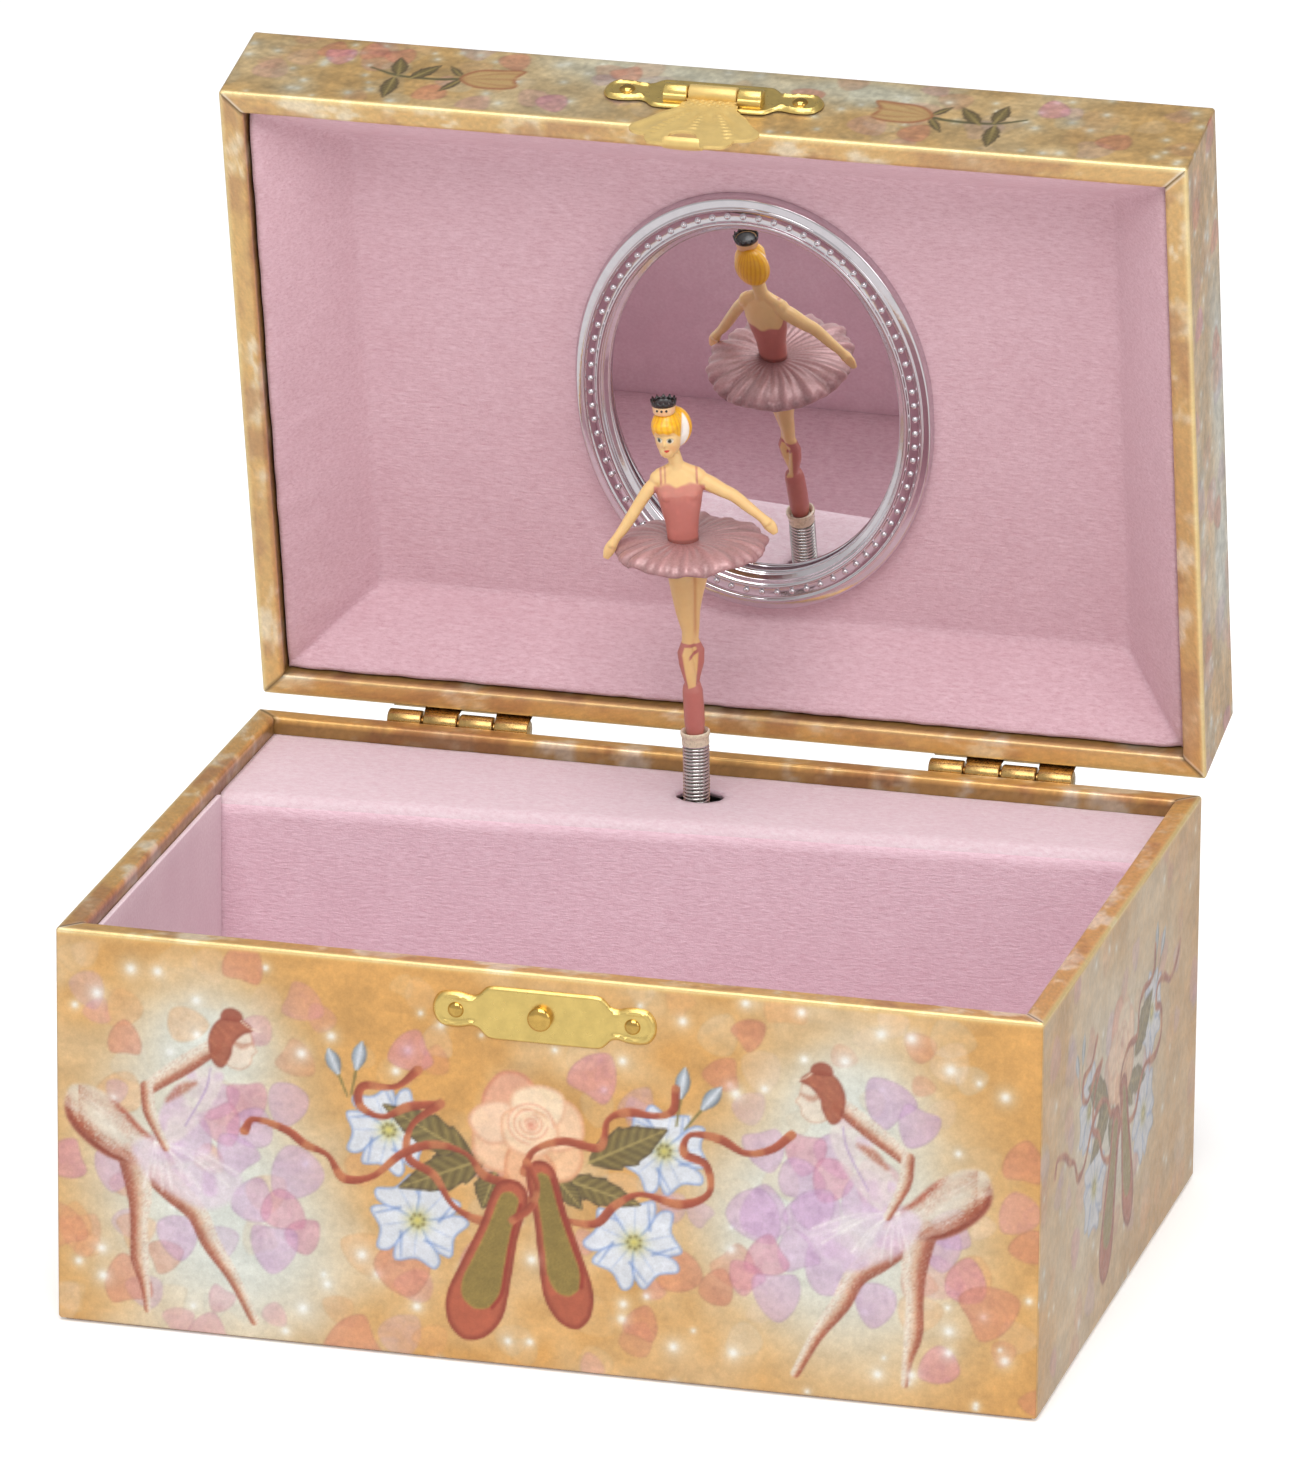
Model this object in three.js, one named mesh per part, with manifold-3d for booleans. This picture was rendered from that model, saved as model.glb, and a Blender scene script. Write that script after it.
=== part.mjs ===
// Musical ballerina jewellery box: paper-covered box with a hinged mirror lid, a snap clasp and a
// dancer who turns on a spring above a small clockwork movement.  Millimetres, +Z up.
// The origin is the centre of the underside; +X is to the right and the clasp faces -Y.
// The box stands open: the lid is built closed and then turned about its hinge line.
import * as THREE from 'three';
import { mergeVertices } from 'three/addons/utils/BufferGeometryUtils.js';
import { ConvexGeometry } from 'three/addons/geometries/ConvexGeometry.js';
import Module from 'manifold-3d';

// ---- Driving dimensions ----------------------------------------------------------------------
const WIDTH = 152;              // outside, left to right
const DEPTH = 107.5;            // outside, front to back
const BASE_HEIGHT = 63;
const LID_HEIGHT = 19.6;
const WALL = 3.6;               // board with its wrap
const TOP_BOARD = 2.7;
const RIM_GAP = 0.5;            // between the closed lid and the base
const SEAT = 0.3;               // running gap between pieces of the turned lid
const GLUE = 0.02;              // glue line between pieces of the fixed base
const LID_OPEN_ANGLE = 77.2;    // degrees, where the hinges stop the lid
const HASP_LIFT = 3.5;          // degrees the hasp stands off its latched position

const HINGE_Y = DEPTH / 2 + 1.93;
const HINGE_Z = BASE_HEIGHT - 0.4;
const HINGE_X = 43.7;           // either side of the middle
const HINGE_WIDTH = 23.2;
const KNUCKLE_RADIUS = 1.7;

const COVER_TOP = 60.2;         // top of the cover over the movement
const COVER_FRONT = 24.8;       // its front edge, at the middle of the box
const COVER_SKEW = 4.8;         // degrees, the folded card sits slightly askew
const COVER_CARD = 1.0;
const COVER_HOLE = [-0.5, 39.2, 3.85];

const SPINDLE_X = -0.5;
const SPINDLE_Y = 38.4;
const FOLD_Z = 62;              // where the spring bends
const SPRING_LOW = 53.7;        // its foot, on the spindle
const LEAN_FORWARD = 4.8;       // degrees, how the spring lets the dancer stand
const LEAN_LEFT = 2.2;
const DANCER_FACING = 14.8;

const MIRROR_X = 2.5;
const MIRROR_Y = 2.0;
const MIRROR_FRAME = [28.5, 36.75];
const MIRROR_GLASS = [23, 30.5];

const CLASP_Z = 73.4;           // middle of the clasp on the lid
const LATCH_Z = 56.3;           // middle of the latch plate on the base
const HASP_AXIS_Z = 71.8;
const HASP_AXIS_OUT = 1.75;     // from the front face to the hasp's pin
const KNOB_TIP = 1.7;           // how far the latch knob stands off the front face

const MODULE = 0.4;             // gear module of the movement
const ARBOR_Z = 40;             // height of the cylinder's arbor
const BARREL_TEETH = 48;
const PINION_TEETH = 9;
const DRIVE_TEETH = 24;
const SPINDLE_TEETH = 18;
const GOVERNOR_TEETH = 30;
const FLY_PINION_TEETH = 8;
const WORM_WHEEL_TEETH = 16;
const pitchRadius = (teeth) => MODULE * teeth / 2;
const PINION_X = -5.1;          // where the barrel drives the arbor
const BARREL_X = PINION_X - pitchRadius(BARREL_TEETH);
const BED_FRONT = 47.8;         // y of the bedplate's front face
const FLY_ARBOR_Z = ARBOR_Z + pitchRadius(GOVERNOR_TEETH) + pitchRadius(FLY_PINION_TEETH);
const WORM_RADIUS = 1.3;
const WORM_X = 30.3;
const WORM_Z = FLY_ARBOR_Z + pitchRadius(WORM_WHEEL_TEETH) + WORM_RADIUS;

// ---- Materials ---------------------------------------------------------------------------------
const material = (color, roughness, metalness = 0) =>
  new THREE.MeshStandardMaterial({ color, roughness, metalness });

const PRINT = material(0xe6b468, 0.45);
const PRINT_DARK = material(0xc79a55, 0.5);
const PINK_PAPER = material(0xdcc8cf, 0.8);
const FLANNEL = material(0xd3a7b4, 0.95);
const BRASS = material(0xd4b566, 0.3, 1);
const STEEL = material(0xb9b8b5, 0.3, 1);
const CHROME = material(0xd8d8da, 0.12, 1);
const GLASS = material(0xe8ecee, 0.03, 1);
const SKIN = material(0xebc47a, 0.4);
const LEOTARD = material(0xcd7369, 0.4);
const TUTU = material(0xaf7d7d, 0.35);
const SOCKET = material(0xddd8c8, 0.35);

// ---- Solids ------------------------------------------------------------------------------------
const wasm = await Module();
wasm.setup();

const group = new THREE.Group();
const radians = THREE.MathUtils.degToRad;

/** One closed solid, joined by position only. */
function solid(geometry) {
  const bare = geometry.index ? geometry.clone() : geometry;
  for (const name of ['normal', 'uv']) bare.deleteAttribute(name);
  const joined = mergeVertices(bare, 1e-5);
  return new wasm.Manifold(new wasm.Mesh({
    numProp: 3,
    vertProperties: new Float32Array(joined.attributes.position.array),
    triVerts: new Uint32Array(joined.index.array),
  }));
}

/** Turns a joined or cut solid back into a geometry. */
function toGeometry(body) {
  const mesh = body.getMesh();
  const geometry = new THREE.BufferGeometry();
  geometry.setAttribute('position', new THREE.BufferAttribute(mesh.vertProperties, 3));
  geometry.setIndex(new THREE.BufferAttribute(mesh.triVerts, 1));
  geometry.computeVertexNormals();
  return geometry;
}

const union = (...parts) => toGeometry(parts.map(solid).reduce((a, b) => a.add(b)));
const cut = (body, ...tools) => toGeometry(tools.map(solid).reduce((a, b) => a.subtract(b), solid(body)));
const common = (a, b) => toGeometry(solid(a).intersect(solid(b)));

function add(parent, name, geometry, look) {
  const mesh = new THREE.Mesh(geometry, look);
  mesh.name = name;
  parent.add(mesh);
  return mesh;
}

/** A box from its low and high corners. */
function box(low, high) {
  const size = high.map((value, axis) => value - low[axis]);
  const geometry = new THREE.BoxGeometry(...size);
  return geometry.translate(...low.map((value, axis) => value + size[axis] / 2));
}

/** A round bar between two points. */
function bar(from, to, radius, sides = 16, endRadius = radius) {
  const start = new THREE.Vector3(...from);
  const way = new THREE.Vector3(...to).sub(start);
  const geometry = new THREE.CylinderGeometry(endRadius, radius, way.length(), sides);
  geometry.translate(0, way.length() / 2, 0);
  const turn = new THREE.Quaternion().setFromUnitVectors(new THREE.Vector3(0, 1, 0), way.normalize());
  return geometry.applyQuaternion(turn).translate(...from);
}

/** A solid of revolution about Z from [radius, z] points. */
function turned(points, segments = 24) {
  const profile = points.map(([radius, z]) => new THREE.Vector2(radius, z));
  return new THREE.LatheGeometry(profile, segments).rotateX(Math.PI / 2);
}

/** A plate with its outline in XZ, from y0 towards the front. */
function frontPlate(shape, y0, thickness, curveSegments = 6) {
  const geometry = new THREE.ExtrudeGeometry(shape, { depth: thickness, bevelEnabled: false, curveSegments });
  return geometry.rotateX(Math.PI / 2).translate(0, y0, 0);
}

function ellipse(x, y, radiusX, radiusY) {
  const shape = new THREE.Shape();
  shape.absellipse(x, y, radiusX, radiusY, 0, Math.PI * 2);
  return shape;
}

// ---- Base: boards, lining and the cover over the movement ---------------------------------------
const halfWidth = WIDTH / 2;
const halfDepth = DEPTH / 2;
const paper = 0.3;
const floorTop = paper + 3.2;
const innerX = halfWidth - WALL;
const innerY = halfDepth - WALL;

function buildBase() {
  const underside = box([-halfWidth + 1, -halfDepth + 1, 0], [halfWidth - 1, halfDepth - 1, paper]);
  add(group, 'base_underside_paper', underside, PRINT_DARK);
  const low = paper + GLUE;
  const floor = box([-innerX + GLUE, -innerY + GLUE, low], [innerX - GLUE, innerY - GLUE, floorTop]);
  add(group, 'base_floor', floor, PRINT_DARK);
  add(group, 'base_front_wall', box([-halfWidth, -halfDepth, low], [halfWidth, -innerY, BASE_HEIGHT]), PRINT);
  const keyHole = bar([BARREL_X, halfDepth + 1, ARBOR_Z], [BARREL_X, innerY - 1, ARBOR_Z], 2.6);
  const backWall = box([-halfWidth, innerY, low], [halfWidth, halfDepth, BASE_HEIGHT]);
  add(group, 'base_back_wall', cut(backWall, keyHole), PRINT);
  for (const [name, side] of [['left', -1], ['right', 1]]) {
    const x = [innerX * side, halfWidth * side].sort((a, b) => a - b);
    const wall = box([x[0], -innerY + GLUE, low], [x[1], innerY - GLUE, BASE_HEIGHT]);
    add(group, `base_${name}_wall`, wall, PRINT);
  }
}

const liningTop = BASE_HEIGHT - 2.4;
const liningCard = 0.8;
const padTop = floorTop + 2.4;

/** The cover's skewed front face, as y at a given x. */
const coverFrontAt = (x) => COVER_FRONT + (x - SPINDLE_X) * Math.tan(radians(COVER_SKEW));

function buildLining() {
  const low = floorTop + GLUE;
  const frontOfCover = (x) => coverFrontAt(x) - 0.1;
  const floorPad = new THREE.Shape();
  floorPad.moveTo(-innerX + GLUE, -innerY + GLUE);
  floorPad.lineTo(innerX - GLUE, -innerY + GLUE);
  floorPad.lineTo(innerX - GLUE, frontOfCover(innerX));
  floorPad.lineTo(-innerX + GLUE, frontOfCover(-innerX));
  const pad = new THREE.ExtrudeGeometry(floorPad, { depth: padTop - low, bevelEnabled: false });
  add(group, 'compartment_floor_pad', pad.translate(0, 0, low), FLANNEL);

  const cardLow = padTop + GLUE;
  const cardX = innerX - GLUE;
  add(group, 'front_lining_card',
    box([-cardX, -innerY + GLUE, cardLow], [cardX, -innerY + liningCard, liningTop]), PINK_PAPER);
  for (const [name, side] of [['left', -1], ['right', 1]]) {
    const outer = cardX * side;
    const inner = (cardX - liningCard) * side;
    const back = coverFrontAt(outer) - 0.3;
    const nearFront = [Math.min(outer, inner), -innerY + liningCard + GLUE, cardLow];
    add(group, `${name}_lining_card`, box(nearFront, [Math.max(outer, inner), back, liningTop]), PINK_PAPER);
  }
}

function buildCover() {
  const bend = 3;
  const back = innerY - GLUE;
  const low = floorTop + GLUE;
  const profile = new THREE.Shape();        // drawn as (y, z), front edge at COVER_FRONT
  profile.moveTo(COVER_FRONT, low);
  profile.lineTo(COVER_FRONT, COVER_TOP - bend);
  profile.absarc(COVER_FRONT + bend, COVER_TOP - bend, bend, Math.PI, Math.PI / 2, true);
  profile.lineTo(back + 12, COVER_TOP);
  profile.lineTo(back + 12, COVER_TOP - COVER_CARD);
  profile.absarc(COVER_FRONT + bend, COVER_TOP - bend, bend - COVER_CARD, Math.PI / 2, Math.PI, false);
  profile.lineTo(COVER_FRONT + COVER_CARD, low);
  const long = WIDTH * 1.1;
  const folded = new THREE.ExtrudeGeometry(profile, { depth: long, bevelEnabled: false, curveSegments: 5 });
  folded.applyMatrix4(new THREE.Matrix4().makeBasis(
    new THREE.Vector3(0, 1, 0), new THREE.Vector3(0, 0, 1), new THREE.Vector3(1, 0, 0)));
  folded.translate(-long / 2, -COVER_FRONT, 0);
  folded.rotateZ(radians(COVER_SKEW)).translate(SPINDLE_X, COVER_FRONT, 0);
  const room = box([-innerX + GLUE, -10, low], [innerX - GLUE, back, COVER_TOP + 1]);
  const [holeX, holeY, holeRadius] = COVER_HOLE;
  const hole = bar([holeX, holeY, COVER_TOP - 4], [holeX, holeY, COVER_TOP + 2], holeRadius, 32);
  add(group, 'movement_cover', cut(common(folded, room), hole), FLANNEL);
}

// ---- Hinges ------------------------------------------------------------------------------------
const knuckleLength = HINGE_WIDTH / 4;
const knuckleGap = 0.15;
const pinRadius = 0.8;

/** A hinge leaf: a thin plate on the back face with two rolled knuckles, drawn about x = 0. */
function hingeLeaf(plateY, low, high, knuckles) {
  const thickness = 0.6;
  const parts = [box([-HINGE_WIDTH / 2, plateY, low], [HINGE_WIDTH / 2, plateY + thickness, high])];
  const notches = [];
  for (let index = 0; index < 4; index += 1) {
    const from = -HINGE_WIDTH / 2 + index * knuckleLength;
    const to = from + knuckleLength;
    if (knuckles.includes(index)) {
      parts.push(bar([from + knuckleGap, HINGE_Y, HINGE_Z], [to - knuckleGap, HINGE_Y, HINGE_Z],
        KNUCKLE_RADIUS));
    } else {
      notches.push(box([from - knuckleGap, plateY - 1, HINGE_Z - KNUCKLE_RADIUS - 0.4],
        [to + knuckleGap, plateY + 2, HINGE_Z + KNUCKLE_RADIUS + 0.4]));
    }
  }
  const bore = bar([-HINGE_WIDTH, HINGE_Y, HINGE_Z], [HINGE_WIDTH, HINGE_Y, HINGE_Z], pinRadius + 0.12);
  return cut(union(...parts), bore, ...notches);
}

function buildHinges(lid) {
  for (const [name, side] of [['left', -1], ['right', 1]]) {
    const x = HINGE_X * side;
    const baseLeaf = hingeLeaf(halfDepth + GLUE, HINGE_Z - 8.6, HINGE_Z, [0, 2]);
    add(group, `${name}_hinge_base_leaf`, baseLeaf, BRASS).position.x = x;
    const lidLeaf = hingeLeaf(halfDepth + SEAT, HINGE_Z, HINGE_Z + 8.6, [1, 3]);
    add(lid, `${name}_hinge_lid_leaf`, lidLeaf, BRASS).position.x = x;
    const half = HINGE_WIDTH / 2 - knuckleGap;
    const pin = bar([x - half, HINGE_Y, HINGE_Z], [x + half, HINGE_Y, HINGE_Z], pinRadius);
    add(group, `${name}_hinge_pin`, pin, BRASS);
  }
}

// ---- Clasp: plates, knob, hasp -----------------------------------------------------------------
/** The lobed plate outline shared by the latch plate and the clasp bracket, about (0, z). */
function lobedPlate(z) {
  const body = 8.8;
  const bodyHalf = 4.2;
  const neck = 2.0;
  const lobeX = 14.4;
  const lobe = 2.85;
  const shape = new THREE.Shape();
  shape.moveTo(-body, z - bodyHalf);
  shape.lineTo(body, z - bodyHalf);
  shape.lineTo(body + 1.8, z - neck);
  shape.lineTo(lobeX - lobe + 0.8, z - neck);
  shape.absarc(lobeX, z, lobe, -Math.PI * 0.75, Math.PI * 0.75, false);
  shape.lineTo(lobeX - lobe + 0.8, z + neck);
  shape.lineTo(body + 1.8, z + neck);
  shape.lineTo(body, z + bodyHalf);
  shape.lineTo(-body, z + bodyHalf);
  shape.lineTo(-body - 1.8, z + neck);
  shape.lineTo(-lobeX + lobe - 0.8, z + neck);
  shape.absarc(-lobeX, z, lobe, Math.PI * 0.25, Math.PI * 1.75, false);
  shape.lineTo(-lobeX + lobe - 0.8, z - neck);
  shape.lineTo(-body - 1.8, z - neck);
  return shape;
}

const plateThickness = 0.5;
const nailX = 13.6;

function nail(x, z, y) {
  return turned([[0, 0], [1.25, 0], [1.15, 0.28], [0.7, 0.5], [0, 0.56]], 16)
    .rotateX(Math.PI / 2).translate(x, y, z);
}

function buildLatch() {
  const face = -halfDepth - GLUE;
  add(group, 'latch_plate', frontPlate(lobedPlate(LATCH_Z), face, plateThickness), BRASS);
  const seat = face - plateThickness - GLUE;
  const tip = KNOB_TIP + halfDepth + seat;
  const knob = turned([[0, 0], [1.45, 0], [1.45, tip * 0.3], [1.8, tip * 0.5], [1.65, tip * 0.78],
    [1.0, tip * 0.96], [0, tip]], 16);
  add(group, 'latch_knob', knob.rotateX(Math.PI / 2).translate(SPINDLE_X, seat, LATCH_Z), BRASS);
  add(group, 'latch_nail_left', nail(-nailX, LATCH_Z, seat), BRASS);
  add(group, 'latch_nail_right', nail(nailX, LATCH_Z, seat), BRASS);
}

const barrelMiddle = 0.5;       // middle of the hasp's knuckle
const haspKnuckle = 7.6;
const bracketKnuckle = 3.8;
const haspPin = 0.6;

function buildClaspBracket(lid) {
  const face = -halfDepth - SEAT;
  const y = -halfDepth - HASP_AXIS_OUT;
  const plate = frontPlate(lobedPlate(CLASP_Z), face, plateThickness);
  const window = box([barrelMiddle - haspKnuckle / 2 - 0.3, face - 1, HASP_AXIS_Z - 1.7],
    [barrelMiddle + haspKnuckle / 2 + 0.3, face + 1, HASP_AXIS_Z + 1.7]);
  const knuckles = [-1, 1].map((side) => {
    const from = barrelMiddle + side * (haspKnuckle / 2 + 0.15);
    return bar([from, y, HASP_AXIS_Z], [from + side * bracketKnuckle, y, HASP_AXIS_Z], 1.4);
  });
  const bore = bar([-20, y, HASP_AXIS_Z], [20, y, HASP_AXIS_Z], haspPin + 0.12);
  add(lid, 'clasp_bracket', cut(union(plate, ...knuckles), window, bore), BRASS);
  const reach = haspKnuckle / 2 + bracketKnuckle;
  const pin = bar([barrelMiddle - reach, y, HASP_AXIS_Z], [barrelMiddle + reach, y, HASP_AXIS_Z], haspPin);
  add(lid, 'clasp_pin', pin, BRASS);
  const seat = face - plateThickness - SEAT;
  add(lid, 'clasp_nail_left', nail(-nailX, CLASP_Z, seat), BRASS);
  add(lid, 'clasp_nail_right', nail(nailX, CLASP_Z, seat), BRASS);
}

/** Scallop-shell hasp with a slot for the knob and a finger tab, hanging from the axis at y = z = 0. */
function haspGeometry() {
  const strap = haspKnuckle / 2 - 0.2;
  const neck = 4.5;
  const wide = 10.1;
  const tab = 3.1;
  const bottom = -19.3;
  const slotZ = LATCH_Z - HASP_AXIS_Z;
  const shell = new THREE.Shape();
  shell.moveTo(strap, -1);
  shell.lineTo(strap, -1.7);
  shell.lineTo(neck, -2.3);
  shell.lineTo(neck, -4);
  shell.quadraticCurveTo(7.4, -7.2, wide - 1, -10.4);
  shell.absarc(wide - 2.2, -12.6, 2.2, Math.PI * 0.25, -Math.PI * 0.4, true);
  shell.lineTo(6.9, -15.4);
  shell.quadraticCurveTo(6.4, -18.2, 4.4, -18.4);
  shell.quadraticCurveTo(3.4, -18.4, tab, bottom);
  shell.lineTo(-tab, bottom);
  shell.quadraticCurveTo(-3.4, -18.4, -4.4, -18.4);
  shell.quadraticCurveTo(-6.4, -18.2, -6.9, -15.4);
  shell.absarc(-wide + 2.2, -12.6, 2.2, -Math.PI * 0.6, -Math.PI * 1.25, true);
  shell.quadraticCurveTo(-7.4, -7.2, -neck, -4);
  shell.lineTo(-neck, -2.3);
  shell.lineTo(-strap, -1.7);
  shell.lineTo(-strap, -1);
  const slot = new THREE.Path();
  slot.absellipse(SPINDLE_X - barrelMiddle, slotZ, 2.2, 2.4, 0, Math.PI * 2);
  shell.holes.push(slot);
  const thickness = 0.4;
  const back = HASP_AXIS_OUT - 0.95;       // the plate lies nearer the box than its pin
  const plate = frontPlate(shell, back, thickness, 7);
  const knuckle = bar([-haspKnuckle / 2, 0, 0], [haspKnuckle / 2, 0, 0], 1.4);
  const finger = new THREE.Shape();        // drawn as (outwards, z)
  finger.moveTo(-back, bottom);
  finger.lineTo(-back + thickness, bottom + 0.5);
  finger.quadraticCurveTo(-back + 1.0, bottom - 0.5, -back + 2.3, bottom - 0.6);
  finger.lineTo(-back + 2.3, bottom - 1.0);
  finger.quadraticCurveTo(-back + 0.4, bottom - 1.1, -back, bottom);
  const curl = new THREE.ExtrudeGeometry(finger, { depth: tab * 2, bevelEnabled: false, curveSegments: 5 });
  curl.applyMatrix4(new THREE.Matrix4().makeBasis(
    new THREE.Vector3(0, -1, 0), new THREE.Vector3(0, 0, 1), new THREE.Vector3(-1, 0, 0)));
  curl.translate(tab, 0, 0);
  const bore = bar([-9, 0, 0], [9, 0, 0], haspPin + 0.12);
  return cut(union(plate, knuckle, curl), bore);
}

function buildHasp(lid) {
  const hasp = add(lid, 'clasp_hasp', haspGeometry(), BRASS);
  hasp.position.set(barrelMiddle, -halfDepth - HASP_AXIS_OUT, HASP_AXIS_Z);
  hasp.rotation.x = -radians(HASP_LIFT);
}

// ---- Lid: boards, lining pads and mirror --------------------------------------------------------
const lidLow = BASE_HEIGHT + RIM_GAP;
const lidTop = lidLow + LID_HEIGHT;
const wallTop = lidTop - TOP_BOARD - SEAT;
const padBack = wallTop - 0.1;

/** One slanted side pad of the lid: its outer edge runs along the rim, its inner edge along the centre. */
function slantedPad(outerEdge, innerEdge, away) {
  const thickness = 1.4;
  const points = [];
  for (const edge of [outerEdge, innerEdge]) {
    for (const point of edge) {
      points.push(new THREE.Vector3(...point));
      points.push(new THREE.Vector3(...point).addScaledVector(away, thickness));
    }
  }
  return new ConvexGeometry(points);
}

function buildLid(lid) {
  const topBoard = box([-halfWidth, -halfDepth, lidTop - TOP_BOARD], [halfWidth, halfDepth, lidTop]);
  add(lid, 'lid_top_board', topBoard, PRINT);
  add(lid, 'lid_front_wall', box([-halfWidth, -halfDepth, lidLow], [halfWidth, -innerY, wallTop]), PRINT);
  add(lid, 'lid_back_wall', box([-halfWidth, innerY, lidLow], [halfWidth, halfDepth, wallTop]), PRINT);
  for (const [name, side] of [['left', -1], ['right', 1]]) {
    const x = [innerX * side, halfWidth * side].sort((a, b) => a - b);
    add(lid, `lid_${name}_wall`, box([x[0], -innerY + SEAT, lidLow], [x[1], innerY - SEAT, wallTop]), PRINT);
  }
  const centreX = 60;
  const centreFront = -40;
  const centreBack = 41;
  const padFace = padBack - 0.7;
  add(lid, 'lid_centre_pad', box([-centreX, centreFront, padFace], [centreX, centreBack, padBack]), FLANNEL);

  const rimX = innerX - SEAT;
  const rimY = innerY - SEAT;
  const rimZ = lidLow + 1.2;
  const mitre = 0.25;
  const footZ = padFace - 0.4;
  const leftPad = slantedPad([[-rimX, -rimY + mitre * 3, rimZ], [-rimX, rimY - mitre * 3, rimZ]],
    [[-centreX - SEAT, centreFront + mitre, footZ], [-centreX - SEAT, centreBack - mitre, footZ]],
    new THREE.Vector3(0.05, 0, 1).normalize());
  add(lid, 'lid_left_pad', leftPad, FLANNEL);
  const rightPad = leftPad.clone().scale(-1, 1, 1);
  rightPad.setAttribute('position', flipped(rightPad.attributes.position));
  add(lid, 'lid_right_pad', rightPad, FLANNEL);
  const frontPad = slantedPad([[-rimX + mitre * 3, -rimY, rimZ], [rimX - mitre * 3, -rimY, rimZ]],
    [[-centreX + mitre, centreFront - SEAT, footZ], [centreX - mitre, centreFront - SEAT, footZ]],
    new THREE.Vector3(0, 0.05, 1).normalize());
  add(lid, 'lid_front_pad', frontPad, FLANNEL);
  const backPad = slantedPad([[-rimX + mitre * 3, rimY, rimZ], [rimX - mitre * 3, rimY, rimZ]],
    [[-centreX + mitre, centreBack + SEAT, footZ], [centreX - mitre, centreBack + SEAT, footZ]],
    new THREE.Vector3(0, -0.05, 1).normalize());
  add(lid, 'lid_back_pad', backPad, FLANNEL);
  buildMirror(lid, padFace - SEAT);
}

/** Reverses the winding of a mirrored triangle list. */
function flipped(positions) {
  const turnedOver = positions.clone();
  for (let index = 0; index < positions.count; index += 3) {
    turnedOver.copyAt(index + 1, positions, index + 2);
    turnedOver.copyAt(index + 2, positions, index + 1);
  }
  return turnedOver;
}

/** Oval frame with a low outer flange, a raised band and an opening for the glass. */
function buildMirror(lid, back) {
  const flange = 0.9;
  const height = 2.4;
  const [outerX, outerY] = MIRROR_FRAME;
  const [glassX, glassY] = MIRROR_GLASS;
  const ring = (radiusX, radiusY, holeX, holeY, depth) => {
    const shape = ellipse(0, 0, radiusX, radiusY);
    shape.holes.push(ellipse(0, 0, holeX, holeY));
    return new THREE.ExtrudeGeometry(shape, { depth, bevelEnabled: false, curveSegments: 24 })
      .translate(0, 0, back - depth);
  };
  const frame = union(ring(outerX, outerY, glassX + 0.3, glassY + 0.3, flange),
    ring(outerX - 1.6, outerY - 1.6, glassX + 0.3, glassY + 0.3, height));
  add(lid, 'mirror_frame', frame, CHROME).position.set(MIRROR_X, MIRROR_Y, 0);
  const glass = new THREE.ExtrudeGeometry(ellipse(0, 0, glassX, glassY),
    { depth: 0.6, bevelEnabled: false, curveSegments: 24 }).translate(0, 0, back - 0.6);
  add(lid, 'mirror_glass', glass, GLASS).position.set(MIRROR_X, MIRROR_Y, 0);
}

// ---- Movement ----------------------------------------------------------------------------------
const addendum = 0.8 * MODULE;
const dedendum = 1.2 * MODULE;
const arborRadius = 0.8;
const bearing = arborRadius + 0.15;
const bedBack = BED_FRONT + 1.6;

/** A spur gear about X, centred on its width, with one tooth pointing along +Z. */
function spurGear(teeth, width) {
  const radius = pitchRadius(teeth);
  const step = Math.PI * 2 / teeth;
  const flanks = [[-0.24, -dedendum], [-0.1, addendum], [0.1, addendum], [0.24, -dedendum]];
  const outline = [];
  for (let tooth = 0; tooth < teeth; tooth += 1) {
    for (const [offset, reach] of flanks) {
      const angle = (tooth + offset) * step;
      outline.push(new THREE.Vector2(Math.cos(angle), Math.sin(angle)).multiplyScalar(radius + reach));
    }
  }
  const shape = new THREE.Shape(outline);
  const gear = new THREE.ExtrudeGeometry(shape, { depth: width, bevelEnabled: false });
  return gear.translate(0, 0, -width / 2).rotateY(-Math.PI / 2);
}

/** The teeth of a crown gear about Z, hanging below the pitch plane z = 0, with a gap along +X. */
function crownTeeth(teeth, faceWidth) {
  const circularPitch = Math.PI * MODULE;
  const section = new THREE.Shape();       // drawn as (along the rim, height)
  section.moveTo(-0.24 * circularPitch, dedendum + 0.2);
  section.lineTo(-0.1 * circularPitch, -addendum);
  section.lineTo(0.1 * circularPitch, -addendum);
  section.lineTo(0.24 * circularPitch, dedendum + 0.2);
  return Array.from({ length: teeth }, (unused, tooth) => {
    const one = new THREE.ExtrudeGeometry(section, { depth: faceWidth, bevelEnabled: false });
    one.rotateX(Math.PI / 2).rotateZ(Math.PI / 2);
    one.translate(pitchRadius(teeth) - faceWidth / 2, 0, 0);
    return one.rotateZ((tooth + 0.5) * Math.PI * 2 / teeth);
  });
}

/** Mainspring barrel with its crown gear, drawn about Z with the teeth down, then laid frontwards. */
function buildBarrel() {
  const radius = pitchRadius(BARREL_TEETH) + 0.8;
  const length = BED_FRONT - 0.3 - (SPINDLE_Y + pitchRadius(PINION_TEETH)) - dedendum;
  const drum = turned([[1.5, dedendum], [radius, dedendum], [radius, dedendum + length],
    [1.5, dedendum + length], [1.5, dedendum]], 36);
  const barrel = union(drum, ...crownTeeth(BARREL_TEETH, 1.4));
  barrel.rotateX(-Math.PI / 2);
  barrel.translate(BARREL_X, SPINDLE_Y + pitchRadius(PINION_TEETH), ARBOR_Z);
  add(group, 'spring_barrel', barrel, BRASS);
}

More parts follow.
